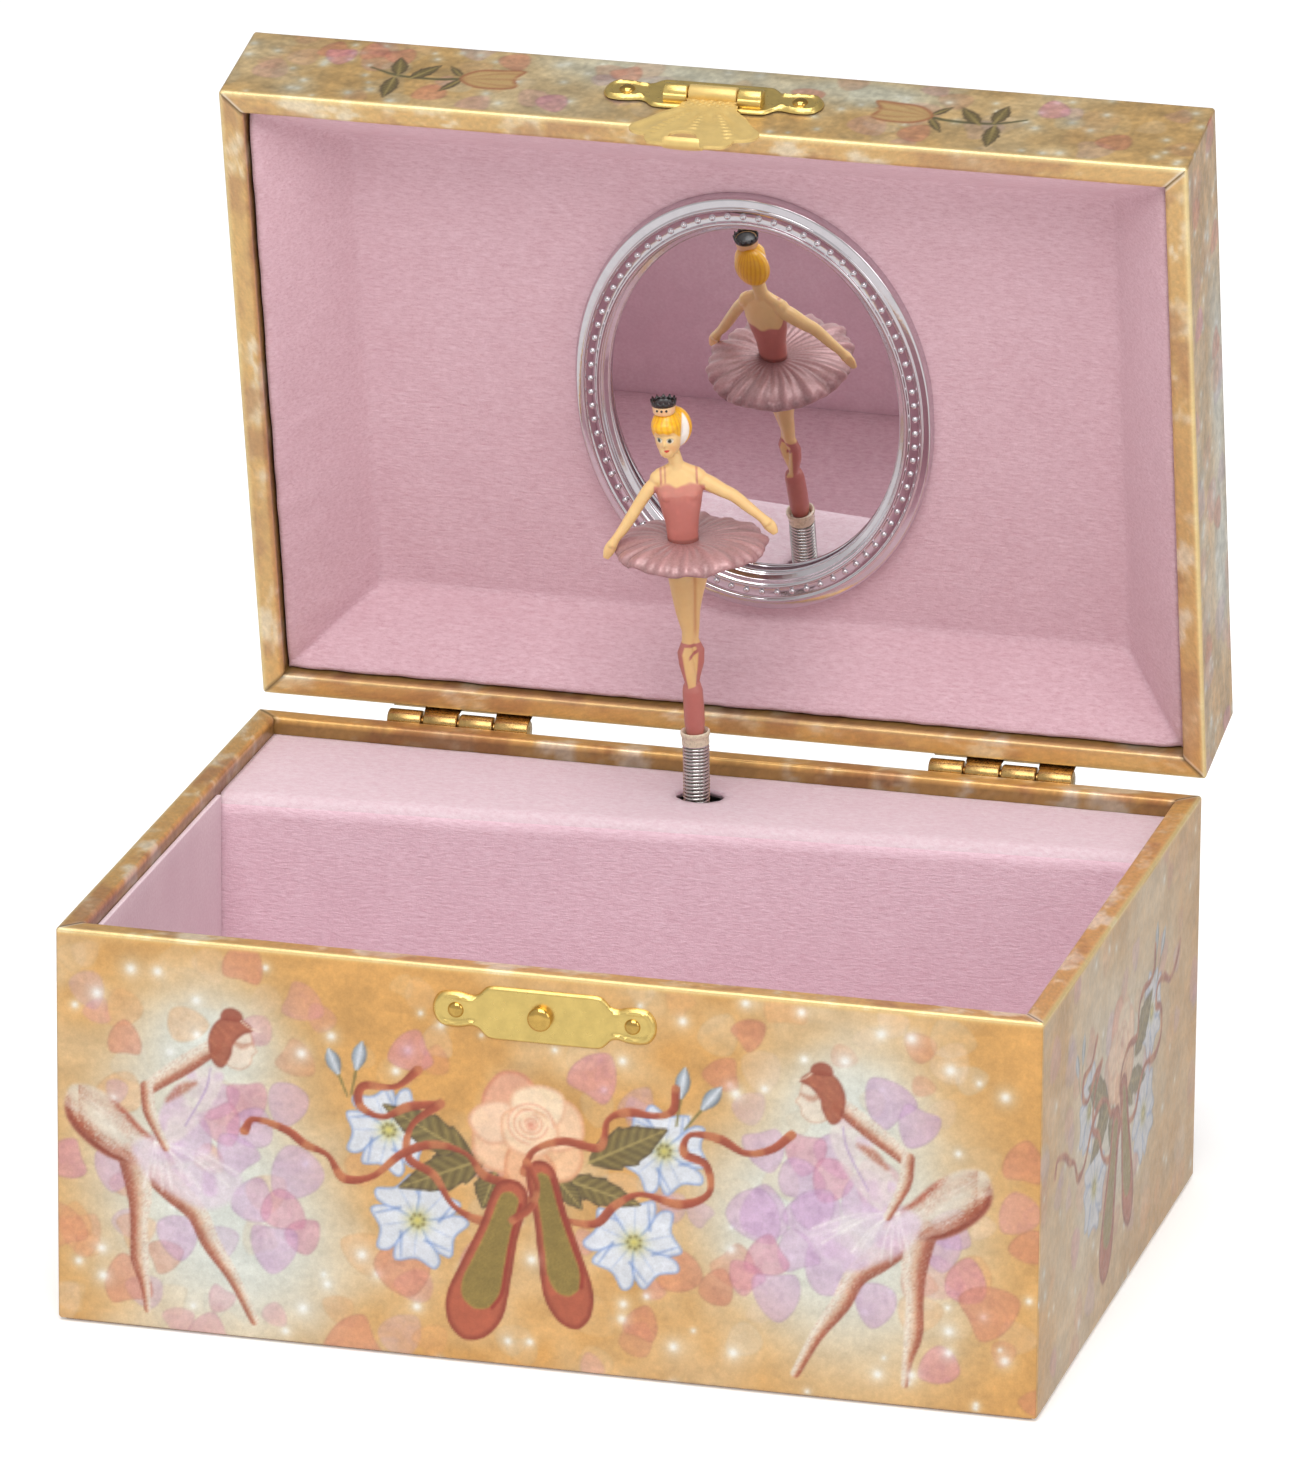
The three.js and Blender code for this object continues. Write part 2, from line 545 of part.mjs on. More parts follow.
/** Winding arbor through the barrel and the back wall, with the butterfly key screwed on outside. */
function buildWinding() {
  const front = SPINDLE_Y + 1.0;
  const end = halfDepth + 6;
  const arbor = union(bar([BARREL_X, front, ARBOR_Z], [BARREL_X, end, ARBOR_Z], 1.2),
    bar([BARREL_X, front, ARBOR_Z], [BARREL_X, front + 0.8, ARBOR_Z], 2.2));
  add(group, 'winding_arbor', arbor, STEEL);
  const hub = bar([BARREL_X, halfDepth + 2.2, ARBOR_Z], [BARREL_X, end + 3, ARBOR_Z], 2.4);
  const wings = [-1, 1].map((side) => new THREE.ExtrudeGeometry(ellipse(side * 6, 0, 4.6, 4),
    { depth: 1.2, bevelEnabled: false, curveSegments: 7 }).translate(BARREL_X, end + 1.5, ARBOR_Z - 0.6));
  const bore = bar([BARREL_X, halfDepth, ARBOR_Z], [BARREL_X, end + 0.3, ARBOR_Z], 1.25);
  add(group, 'winding_key', cut(union(hub, ...wings), bore), STEEL);
}

const cylinderFrom = 5;
const cylinderTo = 23;
const cylinderRadius = 6.4;
const pinHeight = 0.45;
const combTeeth = 18;
const firstReed = cylinderFrom + 0.9;
const reedPitch = (cylinderTo - cylinderFrom - 1.8) / (combTeeth - 1);
const governorX = 26.6;         // middle of the governor's drive wheel and pinion

function buildCylinder() {
  const at = (geometry, x) => geometry.translate(x, SPINDLE_Y, ARBOR_Z);
  const arbor = union(bar([-7.2, SPINDLE_Y, ARBOR_Z], [28.9, SPINDLE_Y, ARBOR_Z], arborRadius, 12),
    at(spurGear(PINION_TEETH, 1.4).rotateX(-Math.PI / 2), PINION_X),
    at(spurGear(DRIVE_TEETH, 1.2), SPINDLE_X + pitchRadius(SPINDLE_TEETH)));
  add(group, 'cylinder_arbor', arbor, BRASS);

  const drum = bar([cylinderFrom, 0, 0], [cylinderTo, 0, 0], cylinderRadius, 36);
  const pins = Array.from({ length: combTeeth }, (unused, tooth) => {
    const angle = radians(tooth * 137.5);
    const x = firstReed + tooth * reedPitch;
    const reach = cylinderRadius + pinHeight;
    return bar([x, 0, 0], [x, Math.cos(angle) * reach, Math.sin(angle) * reach], 0.2, 4);
  });
  const bore = bar([0, 0, 0], [30, 0, 0], arborRadius + 0.05, 12);
  const cylinder = cut(union(drum, ...pins, spurGear(GOVERNOR_TEETH, 1.2).translate(governorX, 0, 0),
    bar([cylinderTo - 1, 0, 0], [governorX, 0, 0], 2.4)), bore);
  add(group, 'music_cylinder', at(cylinder, 0), BRASS);
}

function buildComb() {
  const bottom = 15;
  const low = bottom + 1;
  const combTop = ARBOR_Z - cylinderRadius - pinHeight - 0.15;
  const root = 22;
  const thickness = 0.9;
  const y = SPINDLE_Y - thickness / 2;
  const reed = reedPitch * 0.72;
  const shape = new THREE.Shape();         // drawn as (x, z), teeth upwards
  const left = firstReed - reed / 2;
  shape.moveTo(left, low);
  for (let tooth = 0; tooth < combTeeth; tooth += 1) {
    const x = left + tooth * reedPitch;
    shape.lineTo(x, combTop);
    shape.lineTo(x + reed, combTop);
    if (tooth < combTeeth - 1) {
      shape.lineTo(x + reed, root);
      shape.lineTo(x + reedPitch, root);
    }
  }
  shape.lineTo(left + (combTeeth - 1) * reedPitch + reed, low);
  const plate = frontPlate(shape, y + thickness, thickness);
  const screws = [cylinderFrom + 3, cylinderTo - 3];
  const screwZ = 18.8;
  const along = (x, from, to, radius, sides) =>
    bar([x, y + from, screwZ], [x, y + to, screwZ], radius, sides);
  add(group, 'music_comb', cut(plate, ...screws.map((x) => along(x, 2, -2, 1.1, 12))), STEEL);
  const bed = box([cylinderFrom - 1, y + thickness + GLUE, bottom], [cylinderTo + 1, BED_FRONT - GLUE, 21.5]);
  add(group, 'comb_bed', cut(bed, ...screws.map((x) => along(x, -1, 5, 1.0, 12))), STEEL);
  screws.forEach((x, index) => {
    const screw = union(along(x, 4.4, -0.05, 0.9, 12), along(x, -GLUE, -1.1, 1.9, 16));
    add(group, `comb_screw_${index + 1}`, screw, STEEL);
  });
}

/** Bedplate, upright against the back wall, with the bearing lugs of the cylinder's arbor. */
function buildBedplate() {
  const plate = box([-27, BED_FRONT, 12], [35, bedBack, 57.5]);
  const lug = (from, to) => box([from, SPINDLE_Y - 2.2, ARBOR_Z - 2.2], [to, BED_FRONT + 0.1, ARBOR_Z + 2.2]);
  const arborBore = bar([-9, SPINDLE_Y, ARBOR_Z], [40, SPINDLE_Y, ARBOR_Z], bearing, 12);
  const windingBore = bar([BARREL_X, bedBack + 1, ARBOR_Z], [BARREL_X, BED_FRONT - 1, ARBOR_Z], 1.4);
  const lugs = [lug(-2.4, -1.0), lug(27.7, 28.7)];
  const footstep = box([SPINDLE_X - 1.8, SPINDLE_Y - 2, 52.2], [SPINDLE_X + 1.8, BED_FRONT + 0.1, 53.4]);
  const spindleBore = bar([SPINDLE_X, SPINDLE_Y, 45], [SPINDLE_X, SPINDLE_Y, 60], bearing, 12);
  const bed = cut(union(plate, ...lugs, footstep), arborBore, windingBore, spindleBore);
  add(group, 'movement_bedplate', bed, STEEL);
  [[-23.5, 16], [-23.5, 53.5], [31.5, 16]].forEach(([x, z], index) => {
    const head = bar([x, BED_FRONT - GLUE, z], [x, BED_FRONT - 1.4, z], 2.4, 16);
    add(group, `movement_screw_${index + 1}`, head, STEEL);
  });
}

/** Governor: frame, fly pinion with the worm wheel, and the endless screw with its fan. */
function buildGovernor() {
  const [left, right, front] = [24.2, 33.4, 33.4];
  const sheet = 0.8;
  const cheek = (from) => box([from, front, FLY_ARBOR_Z - 2], [from + sheet, BED_FRONT - GLUE, WORM_Z + 3.6]);
  const strap = box([left, front, WORM_Z - 1.8], [right, front + 1, WORM_Z + 1.8]);
  const back = box([left, BED_FRONT - 1.6, FLY_ARBOR_Z - 2], [right, BED_FRONT - GLUE, WORM_Z + 3.6]);
  const arborBore = bar([left - 4, SPINDLE_Y, FLY_ARBOR_Z], [right + 3, SPINDLE_Y, FLY_ARBOR_Z], 0.65, 12);
  const wormBore = bar([WORM_X, front - 3, WORM_Z], [WORM_X, BED_FRONT - 0.6, WORM_Z], 0.65, 12);
  const frame = cut(union(cheek(left), cheek(right - sheet), strap, back), arborBore, wormBore);
  add(group, 'governor_frame', frame, BRASS);

  const at = (geometry, x) => geometry.translate(x, SPINDLE_Y, FLY_ARBOR_Z);
  const pinion = spurGear(FLY_PINION_TEETH, 2).rotateX(Math.PI / FLY_PINION_TEETH);
  const wheel = spurGear(WORM_WHEEL_TEETH, 0.8).rotateX(Math.PI / WORM_WHEEL_TEETH);
  const arbor = bar([left - 0.2, SPINDLE_Y, FLY_ARBOR_Z], [right + 0.2, SPINDLE_Y, FLY_ARBOR_Z], 0.5, 10);
  const flyWheel = union(arbor, at(pinion, governorX), at(wheel, WORM_X));
  add(group, 'worm_wheel', flyWheel, BRASS);
  buildWorm();
}

/** Right-handed single-start worm about Y with a two-bladed fan in front of the strap. */
function buildWorm() {
  const pitch = Math.PI * MODULE;
  const turns = 4;
  const coreRadius = WORM_RADIUS - dedendum;
  class Helix extends THREE.Curve {
    getPoint(t, target = new THREE.Vector3()) {
      const angle = (t - 0.5) * turns * Math.PI * 2;
      const y = (t - 0.5) * turns * pitch;
      return target.set(-Math.sin(angle) * WORM_RADIUS, y, -Math.cos(angle) * WORM_RADIUS);
    }
  }
  const thread = helicalRidge(new Helix(), turns * 13, pitch);
  const core = bar([0, -7.2, 0], [0, 8.6, 0], 0.5, 10);
  const body = bar([0, -turns * pitch / 2 - 0.4, 0], [0, turns * pitch / 2 + 0.4, 0], coreRadius, 10);
  const fan = box([-2.9, -6.9, -0.2], [2.9, -5.0, 0.2]);
  const worm = union(core, body, thread, fan);
  worm.translate(WORM_X, SPINDLE_Y, WORM_Z);
  add(group, 'governor_worm', worm, STEEL);
}

/** A trapezoid ridge carried along a helix about Y, radial sections kept upright. */
function helicalRidge(curve, steps, pitch) {
  const positions = [];
  const section = [[-0.6, -0.27], [addendum, -0.1], [addendum, 0.1], [-0.6, 0.27]];
  for (let step = 0; step <= steps; step += 1) {
    const centre = curve.getPoint(step / steps);
    const outward = new THREE.Vector3(centre.x, 0, centre.z).normalize();
    for (const [reach, along] of section) {
      positions.push(centre.x + outward.x * reach, centre.y + along * pitch, centre.z + outward.z * reach);
    }
  }
  const index = [];
  const count = section.length;
  for (let step = 0; step < steps; step += 1) {
    for (let side = 0; side < count; side += 1) {
      const a = step * count + side;
      const b = step * count + (side + 1) % count;
      index.push(a, b + count, b, a, a + count, b + count);
    }
  }
  const last = steps * count;
  index.push(0, 1, 2, 0, 2, 3, last, last + 2, last + 1, last, last + 3, last + 2);
  const geometry = new THREE.BufferGeometry();
  geometry.setAttribute('position', new THREE.Float32BufferAttribute(positions, 3));
  geometry.setIndex(index);
  return geometry;
}

// ---- Spindle, spring and dancer ----------------------------------------------------------------
function buildSpindle() {
  const pitchZ = ARBOR_Z + pitchRadius(DRIVE_TEETH);
  const crown = turned([[0, dedendum], [pitchRadius(SPINDLE_TEETH) + 0.7, dedendum],
    [pitchRadius(SPINDLE_TEETH) + 0.7, dedendum + 0.9], [0, dedendum + 0.9]], 24);
  const wheel = union(crown, ...crownTeeth(SPINDLE_TEETH, 1.2)).translate(SPINDLE_X, SPINDLE_Y, pitchZ);
  const top = [SPINDLE_X, SPINDLE_Y, 56.6];
  const spindle = union(wheel, bar([SPINDLE_X, SPINDLE_Y, pitchZ + dedendum], top, arborRadius, 12),
    bar([SPINDLE_X, SPINDLE_Y, 53.6], top, 1.5, 16));
  add(group, 'dancer_spindle', spindle, BRASS);
}

const springOuter = 2.15;
const springWire = 0.45;

/** The dancer stands on the spring: this frame has its origin at the bend and +Z along her body. */
function buildDancer() {
  const dancer = new THREE.Group();
  dancer.position.set(SPINDLE_X, SPINDLE_Y, FOLD_Z);
  dancer.rotation.set(radians(LEAN_FORWARD), -radians(LEAN_LEFT), 0);
  group.add(dancer);

  const springTop = 7.4;
  const foot = new THREE.Vector3(SPINDLE_X, SPINDLE_Y, SPRING_LOW);
  const bend = new THREE.Vector3(SPINDLE_X, SPINDLE_Y, FOLD_Z);
  const end = new THREE.Vector3(0, 0, springTop).applyEuler(dancer.rotation).add(bend);
  const tube = ellipse(0, 0, springOuter, springOuter);
  tube.holes.push(ellipse(0, 0, springOuter - springWire, springOuter - springWire));
  const coil = new THREE.ExtrudeGeometry(tube,
    { steps: 10, curveSegments: 8, extrudePath: new THREE.QuadraticBezierCurve3(foot, bend, end) });
  add(group, 'dancer_spring', coil, STEEL);
  const lip = springOuter + 0.15;
  const socket = turned([[1.25, springTop + 0.1], [springOuter, springTop + 0.1], [springOuter, springTop + 1.3],
    [lip, springTop + 1.6], [lip, springTop + 2.2], [1.9, springTop + 2.2], [1.25, springTop + 1.4],
    [1.25, springTop + 0.1]], 20);
  add(dancer, 'dancer_socket', socket, SOCKET);

  const figure = new THREE.Group();
  figure.rotation.z = radians(DANCER_FACING);
  dancer.add(figure);
  buildLegs(figure, springTop + 0.3);
  buildTutu(figure);
  buildUpperBody(figure);
}

const waistZ = 41.6;            // above the bend
const tutuRadius = 11.6;

/** Peg, crossed pointe shoes and two tapering legs. */
function buildLegs(figure, low) {
  const shoeTop = 22;
  const ankle = 24.5;
  const hip = waistZ - 3.2;
  const peg = bar([0, 0, low], [0, 0, low + 2], 1.05, 12);
  const shoe = turned([[0, low + 1.9], [1.6, low + 1.9], [1.65, low + 6], [1.5, shoeTop - 3], [1.2, shoeTop],
    [0, shoeTop]], 16);
  const heel = new THREE.SphereGeometry(1, 12, 8).scale(1.7, 1.9, 3.4).translate(-1.0, 1.1, 21.4);
  const front = bar([0.4, -0.5, shoeTop - 4], [0.2, -0.5, ankle + 1], 1.2, 12, 1.15);
  const calf = bar([0.2, -0.5, ankle + 0.8], [-0.9, -0.1, hip], 1.15, 12, 1.85);
  const other = bar([-0.9, 0.9, shoeTop - 2], [1.2, 0.5, hip], 1.1, 12, 1.8);
  add(figure, 'dancer_legs', union(peg, shoe, heel, front, calf, other), SKIN);
}

function buildTutu(figure) {
  const z = waistZ - 2.6;
  const skirt = turned([[1.6, z + 0.9], [1.6, z - 0.3], [5, z - 0.5], [tutuRadius, z - 1.6],
    [tutuRadius + 0.1, z - 0.8], [5, z + 0.7], [2.2, z + 1.3], [1.6, z + 0.9]], 32);
  add(figure, 'dancer_tutu', skirt, TUTU);
}

/** Leotard, shoulders, arms, neck, head, crown and veil in one moulding, with a peg through the skirt. */
function buildUpperBody(figure) {
  const shoulder = waistZ + 8.4;
  const headZ = waistZ + 15.4;
  const stub = turned([[0, waistZ - 2.9], [1.3, waistZ - 2.9], [1.3, waistZ - 1.0], [0, waistZ - 1.0]], 12);
  const torso = turned([[0, waistZ - 1.1], [1.9, waistZ - 1.1], [1.85, waistZ + 0.4], [2.4, waistZ + 4],
    [3.0, waistZ + 6.6], [2.5, shoulder], [1.1, shoulder + 1.2], [0, shoulder + 1.2]], 16).scale(1, 0.78, 1);
  const neck = bar([0, 0, shoulder + 0.5], [-0.5, -0.2, headZ - 2.6], 1.0, 12, 0.85);
  const head = new THREE.SphereGeometry(1, 12, 9).scale(2.6, 2.7, 3.6).translate(-0.9, -0.3, headZ);
  const bun = turned([[0, headZ + 2.2], [2.2, headZ + 2.2], [2.0, headZ + 5.2], [2.15, headZ + 6.7],
    [0, headZ + 6.7]], 16).translate(-1.2, 0, 0);
  const veil = new THREE.SphereGeometry(1, 10, 7).scale(1.9, 2.2, 4.6).translate(0.6, 1.1, headZ + 0.6);
  const arms = [-1, 1].flatMap((side) => {
    const joint = [side * 2.7, 0, shoulder - 0.5];
    const elbow = [side * 7.4, -0.6, shoulder - 4.2];
    const hand = side < 0 ? [-12.4, -0.9, shoulder - 10.2] : [12.2, -0.9, shoulder - 6.4];
    const ball = new THREE.SphereGeometry(0.95, 8, 5).translate(...hand);
    return [bar(joint, elbow, 1.0, 8, 0.85), bar(elbow, hand, 0.85, 8, 0.75),
      new THREE.SphereGeometry(0.86, 8, 5).translate(...elbow), ball,
      new THREE.SphereGeometry(1.15, 8, 5).translate(...joint)];
  });
  add(figure, 'dancer_upper_body', union(stub, torso, neck, head, bun, veil, ...arms), LEOTARD);
}

// ---- Assembly ----------------------------------------------------------------------------------
/** A frame that turns with the lid about the hinge line; pieces in it are drawn with the lid closed. */
function openedLid() {
  const turning = new THREE.Group();
  turning.position.set(0, HINGE_Y, HINGE_Z);
  turning.rotation.x = -radians(LID_OPEN_ANGLE);
  group.add(turning);
  const lid = new THREE.Group();
  lid.position.set(0, -HINGE_Y, -HINGE_Z);
  turning.add(lid);
  return lid;
}

const lid = openedLid();
buildBase();
buildLining();
buildCover();
buildLatch();
buildHinges(lid);
buildLid(lid);
buildClaspBracket(lid);
buildHasp(lid);
buildBedplate();
buildBarrel();
buildWinding();
buildCylinder();
buildComb();
buildGovernor();
buildSpindle();
buildDancer();

export default group;
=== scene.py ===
"""Looks of the musical jewellery box: printed foil paper, flannel lining, brass fittings and the dancer.

Lengths here are millimetres until a mesh is made, in the frame of the CAD model. Pieces of the lid are
drawn with the lid closed and then turned to where it stands open.
"""

import math

import bmesh
import bpy
import numpy as np
from mathutils import Matrix, Vector


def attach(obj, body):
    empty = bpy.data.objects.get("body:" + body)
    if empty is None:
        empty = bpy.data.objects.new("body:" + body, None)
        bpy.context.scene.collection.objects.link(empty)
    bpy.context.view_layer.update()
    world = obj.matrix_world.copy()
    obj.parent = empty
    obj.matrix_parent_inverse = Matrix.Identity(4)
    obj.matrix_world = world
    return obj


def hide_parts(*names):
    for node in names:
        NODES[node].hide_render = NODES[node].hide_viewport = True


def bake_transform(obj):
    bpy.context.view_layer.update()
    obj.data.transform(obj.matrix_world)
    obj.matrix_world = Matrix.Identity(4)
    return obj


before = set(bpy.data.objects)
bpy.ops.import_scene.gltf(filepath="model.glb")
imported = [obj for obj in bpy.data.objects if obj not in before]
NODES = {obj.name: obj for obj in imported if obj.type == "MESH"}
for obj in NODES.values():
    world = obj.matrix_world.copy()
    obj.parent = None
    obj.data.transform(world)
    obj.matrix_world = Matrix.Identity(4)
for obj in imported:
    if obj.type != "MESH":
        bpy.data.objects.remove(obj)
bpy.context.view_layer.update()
MM = 0.001
TAU = 2 * math.pi

# ---- Dimensions shared with the CAD model --------------------------------------------------------
HALF_X, HALF_Y = 76.0, 53.75
BASE_LOW, BASE_TOP = 0.32, 63.0
LID_LOW, LID_TOP = 63.5, 83.6
WALL = 3.6
HINGE_Y, HINGE_Z, HINGE_X, HINGE_WIDTH = 55.68, 62.6, 43.7, 23.2
OPEN_ANGLE = math.radians(77.2)
COVER_TOP, COVER_FRONT, COVER_SKEW = 60.2, 24.8, math.tan(math.radians(4.8))
SPINDLE = Vector((-0.5, 38.4, 62.0))
HASP_AXIS = Vector((0.5, -55.5, 71.8))
MIRROR_AT = Vector((2.5, 2.0, 0.0))
MIRROR_FRAME, MIRROR_GLASS = (28.5, 36.75), (23.0, 30.5)
LID_INSIDE = 80.1                 # inner face of the lid's top board
FLOOR_TOP, PAD_LOW = 3.56, 5.3    # the base's floor board, and the thin edge of the flannel on it
LINING_X, LINING_Y = 72.36, 50.1  # outer faces of the linings
NAIL_X = 13.6                     # the clasp's and the latch's nails from the middle
LATCH_Z, BRACKET_Z = 56.3, 73.4
WAIST = 41.6                      # the dancer's waist above the spindle
CAMERA_AT, CAMERA_LENS = (0.46996, -1.79228, 0.70972), 316.97
CAMERA_TURN = (-14.622, 18.673, -0.496)     # yaw, pitch down and roll, in degrees

HINGE_POINT = Vector((0, HINGE_Y, HINGE_Z))
LID = (Matrix.Translation(HINGE_POINT) @ Matrix.Rotation(-OPEN_ANGLE, 4, "X")
       @ Matrix.Translation(-HINGE_POINT))
HASP = LID @ Matrix.Translation(HASP_AXIS) @ Matrix.Rotation(math.radians(-3.5), 4, "X")
DANCER = (Matrix.Translation(SPINDLE) @ Matrix.Rotation(math.radians(4.8), 4, "X")
          @ Matrix.Rotation(math.radians(-2.2), 4, "Y"))
FIGURE = DANCER @ Matrix.Rotation(math.radians(14.8), 4, "Z")
BASE = Matrix.Identity(4)


# ---- Small helpers -------------------------------------------------------------------------------
def linear(*rgb):
    """An 8-bit sRGB colour, or an array of them, as linear values from 0 to 1."""
    value = np.asarray(rgb[0] if len(rgb) == 1 else rgb, float) / 255
    return np.where(value <= 0.04045, value / 12.92, ((value + 0.055) / 1.055) ** 2.4)


def smooth(low, high, value):
    """0 where value is at low, 1 at high, with an eased step between."""
    t = np.clip((value - low) / (high - low), 0, 1)
    return t * t * (3 - 2 * t)


def noise(u, v, seed, cell):
    """Smooth value noise from -1 to 1, with features about cell wide."""
    table = np.random.default_rng(seed).uniform(-1, 1, (257, 257))
    u, v = np.asarray(u, float) / cell + 1000, np.asarray(v, float) / cell + 1000
    i, j = np.floor(u).astype(int), np.floor(v).astype(int)
    a, b = smooth(0, 1, u - i), smooth(0, 1, v - j)
    i, j = i % 256, j % 256
    low = table[j, i] * (1 - a) + table[j, i + 1] * a
    high = table[j + 1, i] * (1 - a) + table[j + 1, i + 1] * a
    return low * (1 - b) + high * b


def clouds(u, v, seed, cell, octaves=4):
    """Noise at several scales, from -1 to 1."""
    total = sum(noise(u, v, seed + k, cell / 2 ** k) / 1.7 ** k for k in range(octaves))
    return total / sum(1 / 1.7 ** k for k in range(octaves))


def through(points, count, closed=False):
    """A smooth Catmull-Rom line of count points through the given rows of numbers."""
    p = np.asarray(points, float)
    n = len(p)
    ends = (p[-1:], p[:2]) if closed else (2 * p[:1] - p[1:2], 2 * p[-1:] - p[-2:-1])
    p = np.concatenate([ends[0], p, ends[1]])
    spans = n if closed else n - 1
    t = np.linspace(0, spans, count, endpoint=not closed)
    k = np.minimum(t.astype(int), spans - 1)
    f = (t - k)[:, None]
    a, b, c, d = p[k], p[k + 1], p[k + 2], p[k + 3]
    cubic = 3 * b - a - 3 * c + d
    return 0.5 * (2 * b + (c - a) * f + (2 * a - 5 * b + 4 * c - d) * f ** 2 + cubic * f ** 3)


def nearest_on(outline, gx, gz):
    """Signed distance inside a closed outline, and the nearest point on it, for a grid of points."""
    best = np.full(gx.shape, 1e9)
    near_x, near_z = np.zeros(gx.shape), np.zeros(gx.shape)
    inside = np.zeros(gx.shape, bool)
    for a, b in zip(outline, np.roll(outline, -1, 0)):
        dx, dz = b - a
        t = np.clip(((gx - a[0]) * dx + (gz - a[1]) * dz) / (dx * dx + dz * dz + 1e-12), 0, 1)
        px, pz = a[0] + dx * t, a[1] + dz * t
        d = np.hypot(gx - px, gz - pz)
        closer = d < best
        best = np.where(closer, d, best)
        near_x, near_z = np.where(closer, px, near_x), np.where(closer, pz, near_z)
        crossing = (a[1] > gz) != (b[1] > gz)
        inside ^= crossing & (gx < a[0] + (gz - a[1]) * dx / (dz if abs(dz) > 1e-9 else 1e-9))
    return np.where(inside, best, -best), near_x, near_z


# ---- Materials -----------------------------------------------------------------------------------
class Look:
    """A Principled material with a few procedural nodes in front of it."""

    def __init__(self, name, **sockets):
        self.material = bpy.data.materials.new(name)
        self.material.use_nodes = True
        self.tree = self.material.node_tree
        self.shader = self.tree.nodes["Principled BSDF"]
        for socket, value in sockets.items():
            self.shader.inputs[socket.replace("_", " ")].default_value = value
        self.place = self.node("ShaderNodeTexCoord").outputs["Object"]

    def node(self, kind, settings=None, **inputs):
        made = self.tree.nodes.new(kind)
        for key, value in (settings or {}).items():
            setattr(made, key, value)
        for key, value in inputs.items():
            key = int(key[1:]) if key[1:].isdigit() else key.replace("_", " ")
            if isinstance(value, bpy.types.NodeSocket):
                self.tree.links.new(value, made.inputs[key])
            else:
                made.inputs[key].default_value = value
        return made

    def set(self, socket, value):
        self.tree.links.new(value, self.shader.inputs[socket])

    def attribute(self, name):
        return self.node("ShaderNodeAttribute", {"attribute_name": name}).outputs["Color"]

    def scaled(self, x, y, z):
        return self.node("ShaderNodeMapping", Vector=self.place, Scale=(x, y, z)).outputs[0]

    def noise(self, scale, detail=3.0, roughness=0.55, vector=None):
        return self.node("ShaderNodeTexNoise", Vector=vector or self.place, Scale=scale, Detail=detail,
                         Roughness=roughness).outputs["Fac"]

    def span(self, value, low, high, from_low=0.3, from_high=0.7):
        return self.node("ShaderNodeMapRange", Value=value, _1=from_low, _2=from_high, _3=low,
                         _4=high).outputs[0]

    def mix(self, factor, a, b, kind="MIX"):
        made = self.node("ShaderNodeMix", {"data_type": "RGBA", "blend_type": kind, "clamp_result": False},
                         _0=factor)
        for index, value in ((6, a), (7, b)):
            if isinstance(value, bpy.types.NodeSocket):
                self.tree.links.new(value, made.inputs[index])
            else:
                made.inputs[index].default_value = (*value[:3], 1)
        return made.outputs[2]

    def bump(self, *layers):
        """Layers are (height socket, strength, distance in metres)."""
        normal = None
        for height, strength, distance in layers:
            made = self.node("ShaderNodeBump", Height=height, Strength=strength, Distance=distance)
            if normal is not None:
                self.tree.links.new(normal, made.inputs["Normal"])
            normal = made.outputs[0]
        self.set("Normal", normal)


def paper_look(name, tint=None, metallic=0.5, rough=(0.3, 0.44)):
    """Foil-printed paper, painted on the mesh unless a tint is given, with its fine grain and gloss."""
    look = Look(name, Metallic=metallic, Specular_IOR_Level=0.6, Coat_Weight=0.3, Coat_Roughness=0.34)
    colour = look.attribute("print") if tint is None else look.mix(
        look.noise(260, 5), linear(*tint) * 0.82, linear(*tint) * 1.12)
    fibres = look.noise(3000, 5, 0.75)
    grain = look.noise(1100, 3, 0.6)
    for specks, most, tint in ((fibres, 0.5, (0.74, 0.69, 0.64)), (grain, 0.3, (1.2, 1.2, 1.22))):
        colour = look.mix(look.span(specks, 0, most), colour, look.mix(1.0, colour, tint, "MULTIPLY"))
    look.set("Base Color", colour)
    look.set("Roughness", look.span(look.noise(900, 3), *rough))
    look.bump((fibres, 0.4, 0.00006), (look.noise(420, 2), 0.22, 0.0001))
    return look.material


def flannel_look(name, deep, light, along):
    """Brushed flannel: a matted nap with short lines across it, and light caught on its fibres."""
    look = Look(name, Roughness=0.93, Specular_IOR_Level=0.12, Sheen_Weight=0.3, Sheen_Roughness=0.45,
                Sheen_Tint=(*linear(248, 226, 232), 1))
    lines = look.noise(1800, 4, 0.7, look.scaled(*along))
    nap = look.noise(5200, 3, 0.7)
    patches = look.noise(110, 4, 0.6)
    colour = look.mix(look.span(lines, 0, 1), linear(*deep), linear(*light))
    colour = look.mix(look.span(nap, 0, 0.5, 0.4, 0.75), colour, linear(*light) * 1.08)
    colour = look.mix(look.span(patches, 0, 0.2), colour, linear(*deep))
    look.set("Base Color", colour)
    look.bump((lines, 0.75, 0.00026), (nap, 0.5, 0.00014))
    return look.material


def metal_look(name, tint, rough, dark, brushed=(1, 1, 1), metallic=1.0):
    """Polished or brushed metal, with faint stains of the tint darkened by dark."""
    look = Look(name, Metallic=metallic)
    stains = look.noise(420, 5, 0.62)
    colour = look.mix(look.span(stains, 0, 1, 0.35, 0.68), linear(*tint), linear(*tint) * dark)
    look.set("Base Color", colour)
    look.set("Roughness", look.span(look.noise(1300, 4, 0.6, look.scaled(*brushed)), *rough))
    look.bump((look.noise(2300, 3, 0.6, look.scaled(*brushed)), 0.10, 0.00004),
              (look.noise(330, 2), 0.16, 0.0001))
    return look.material


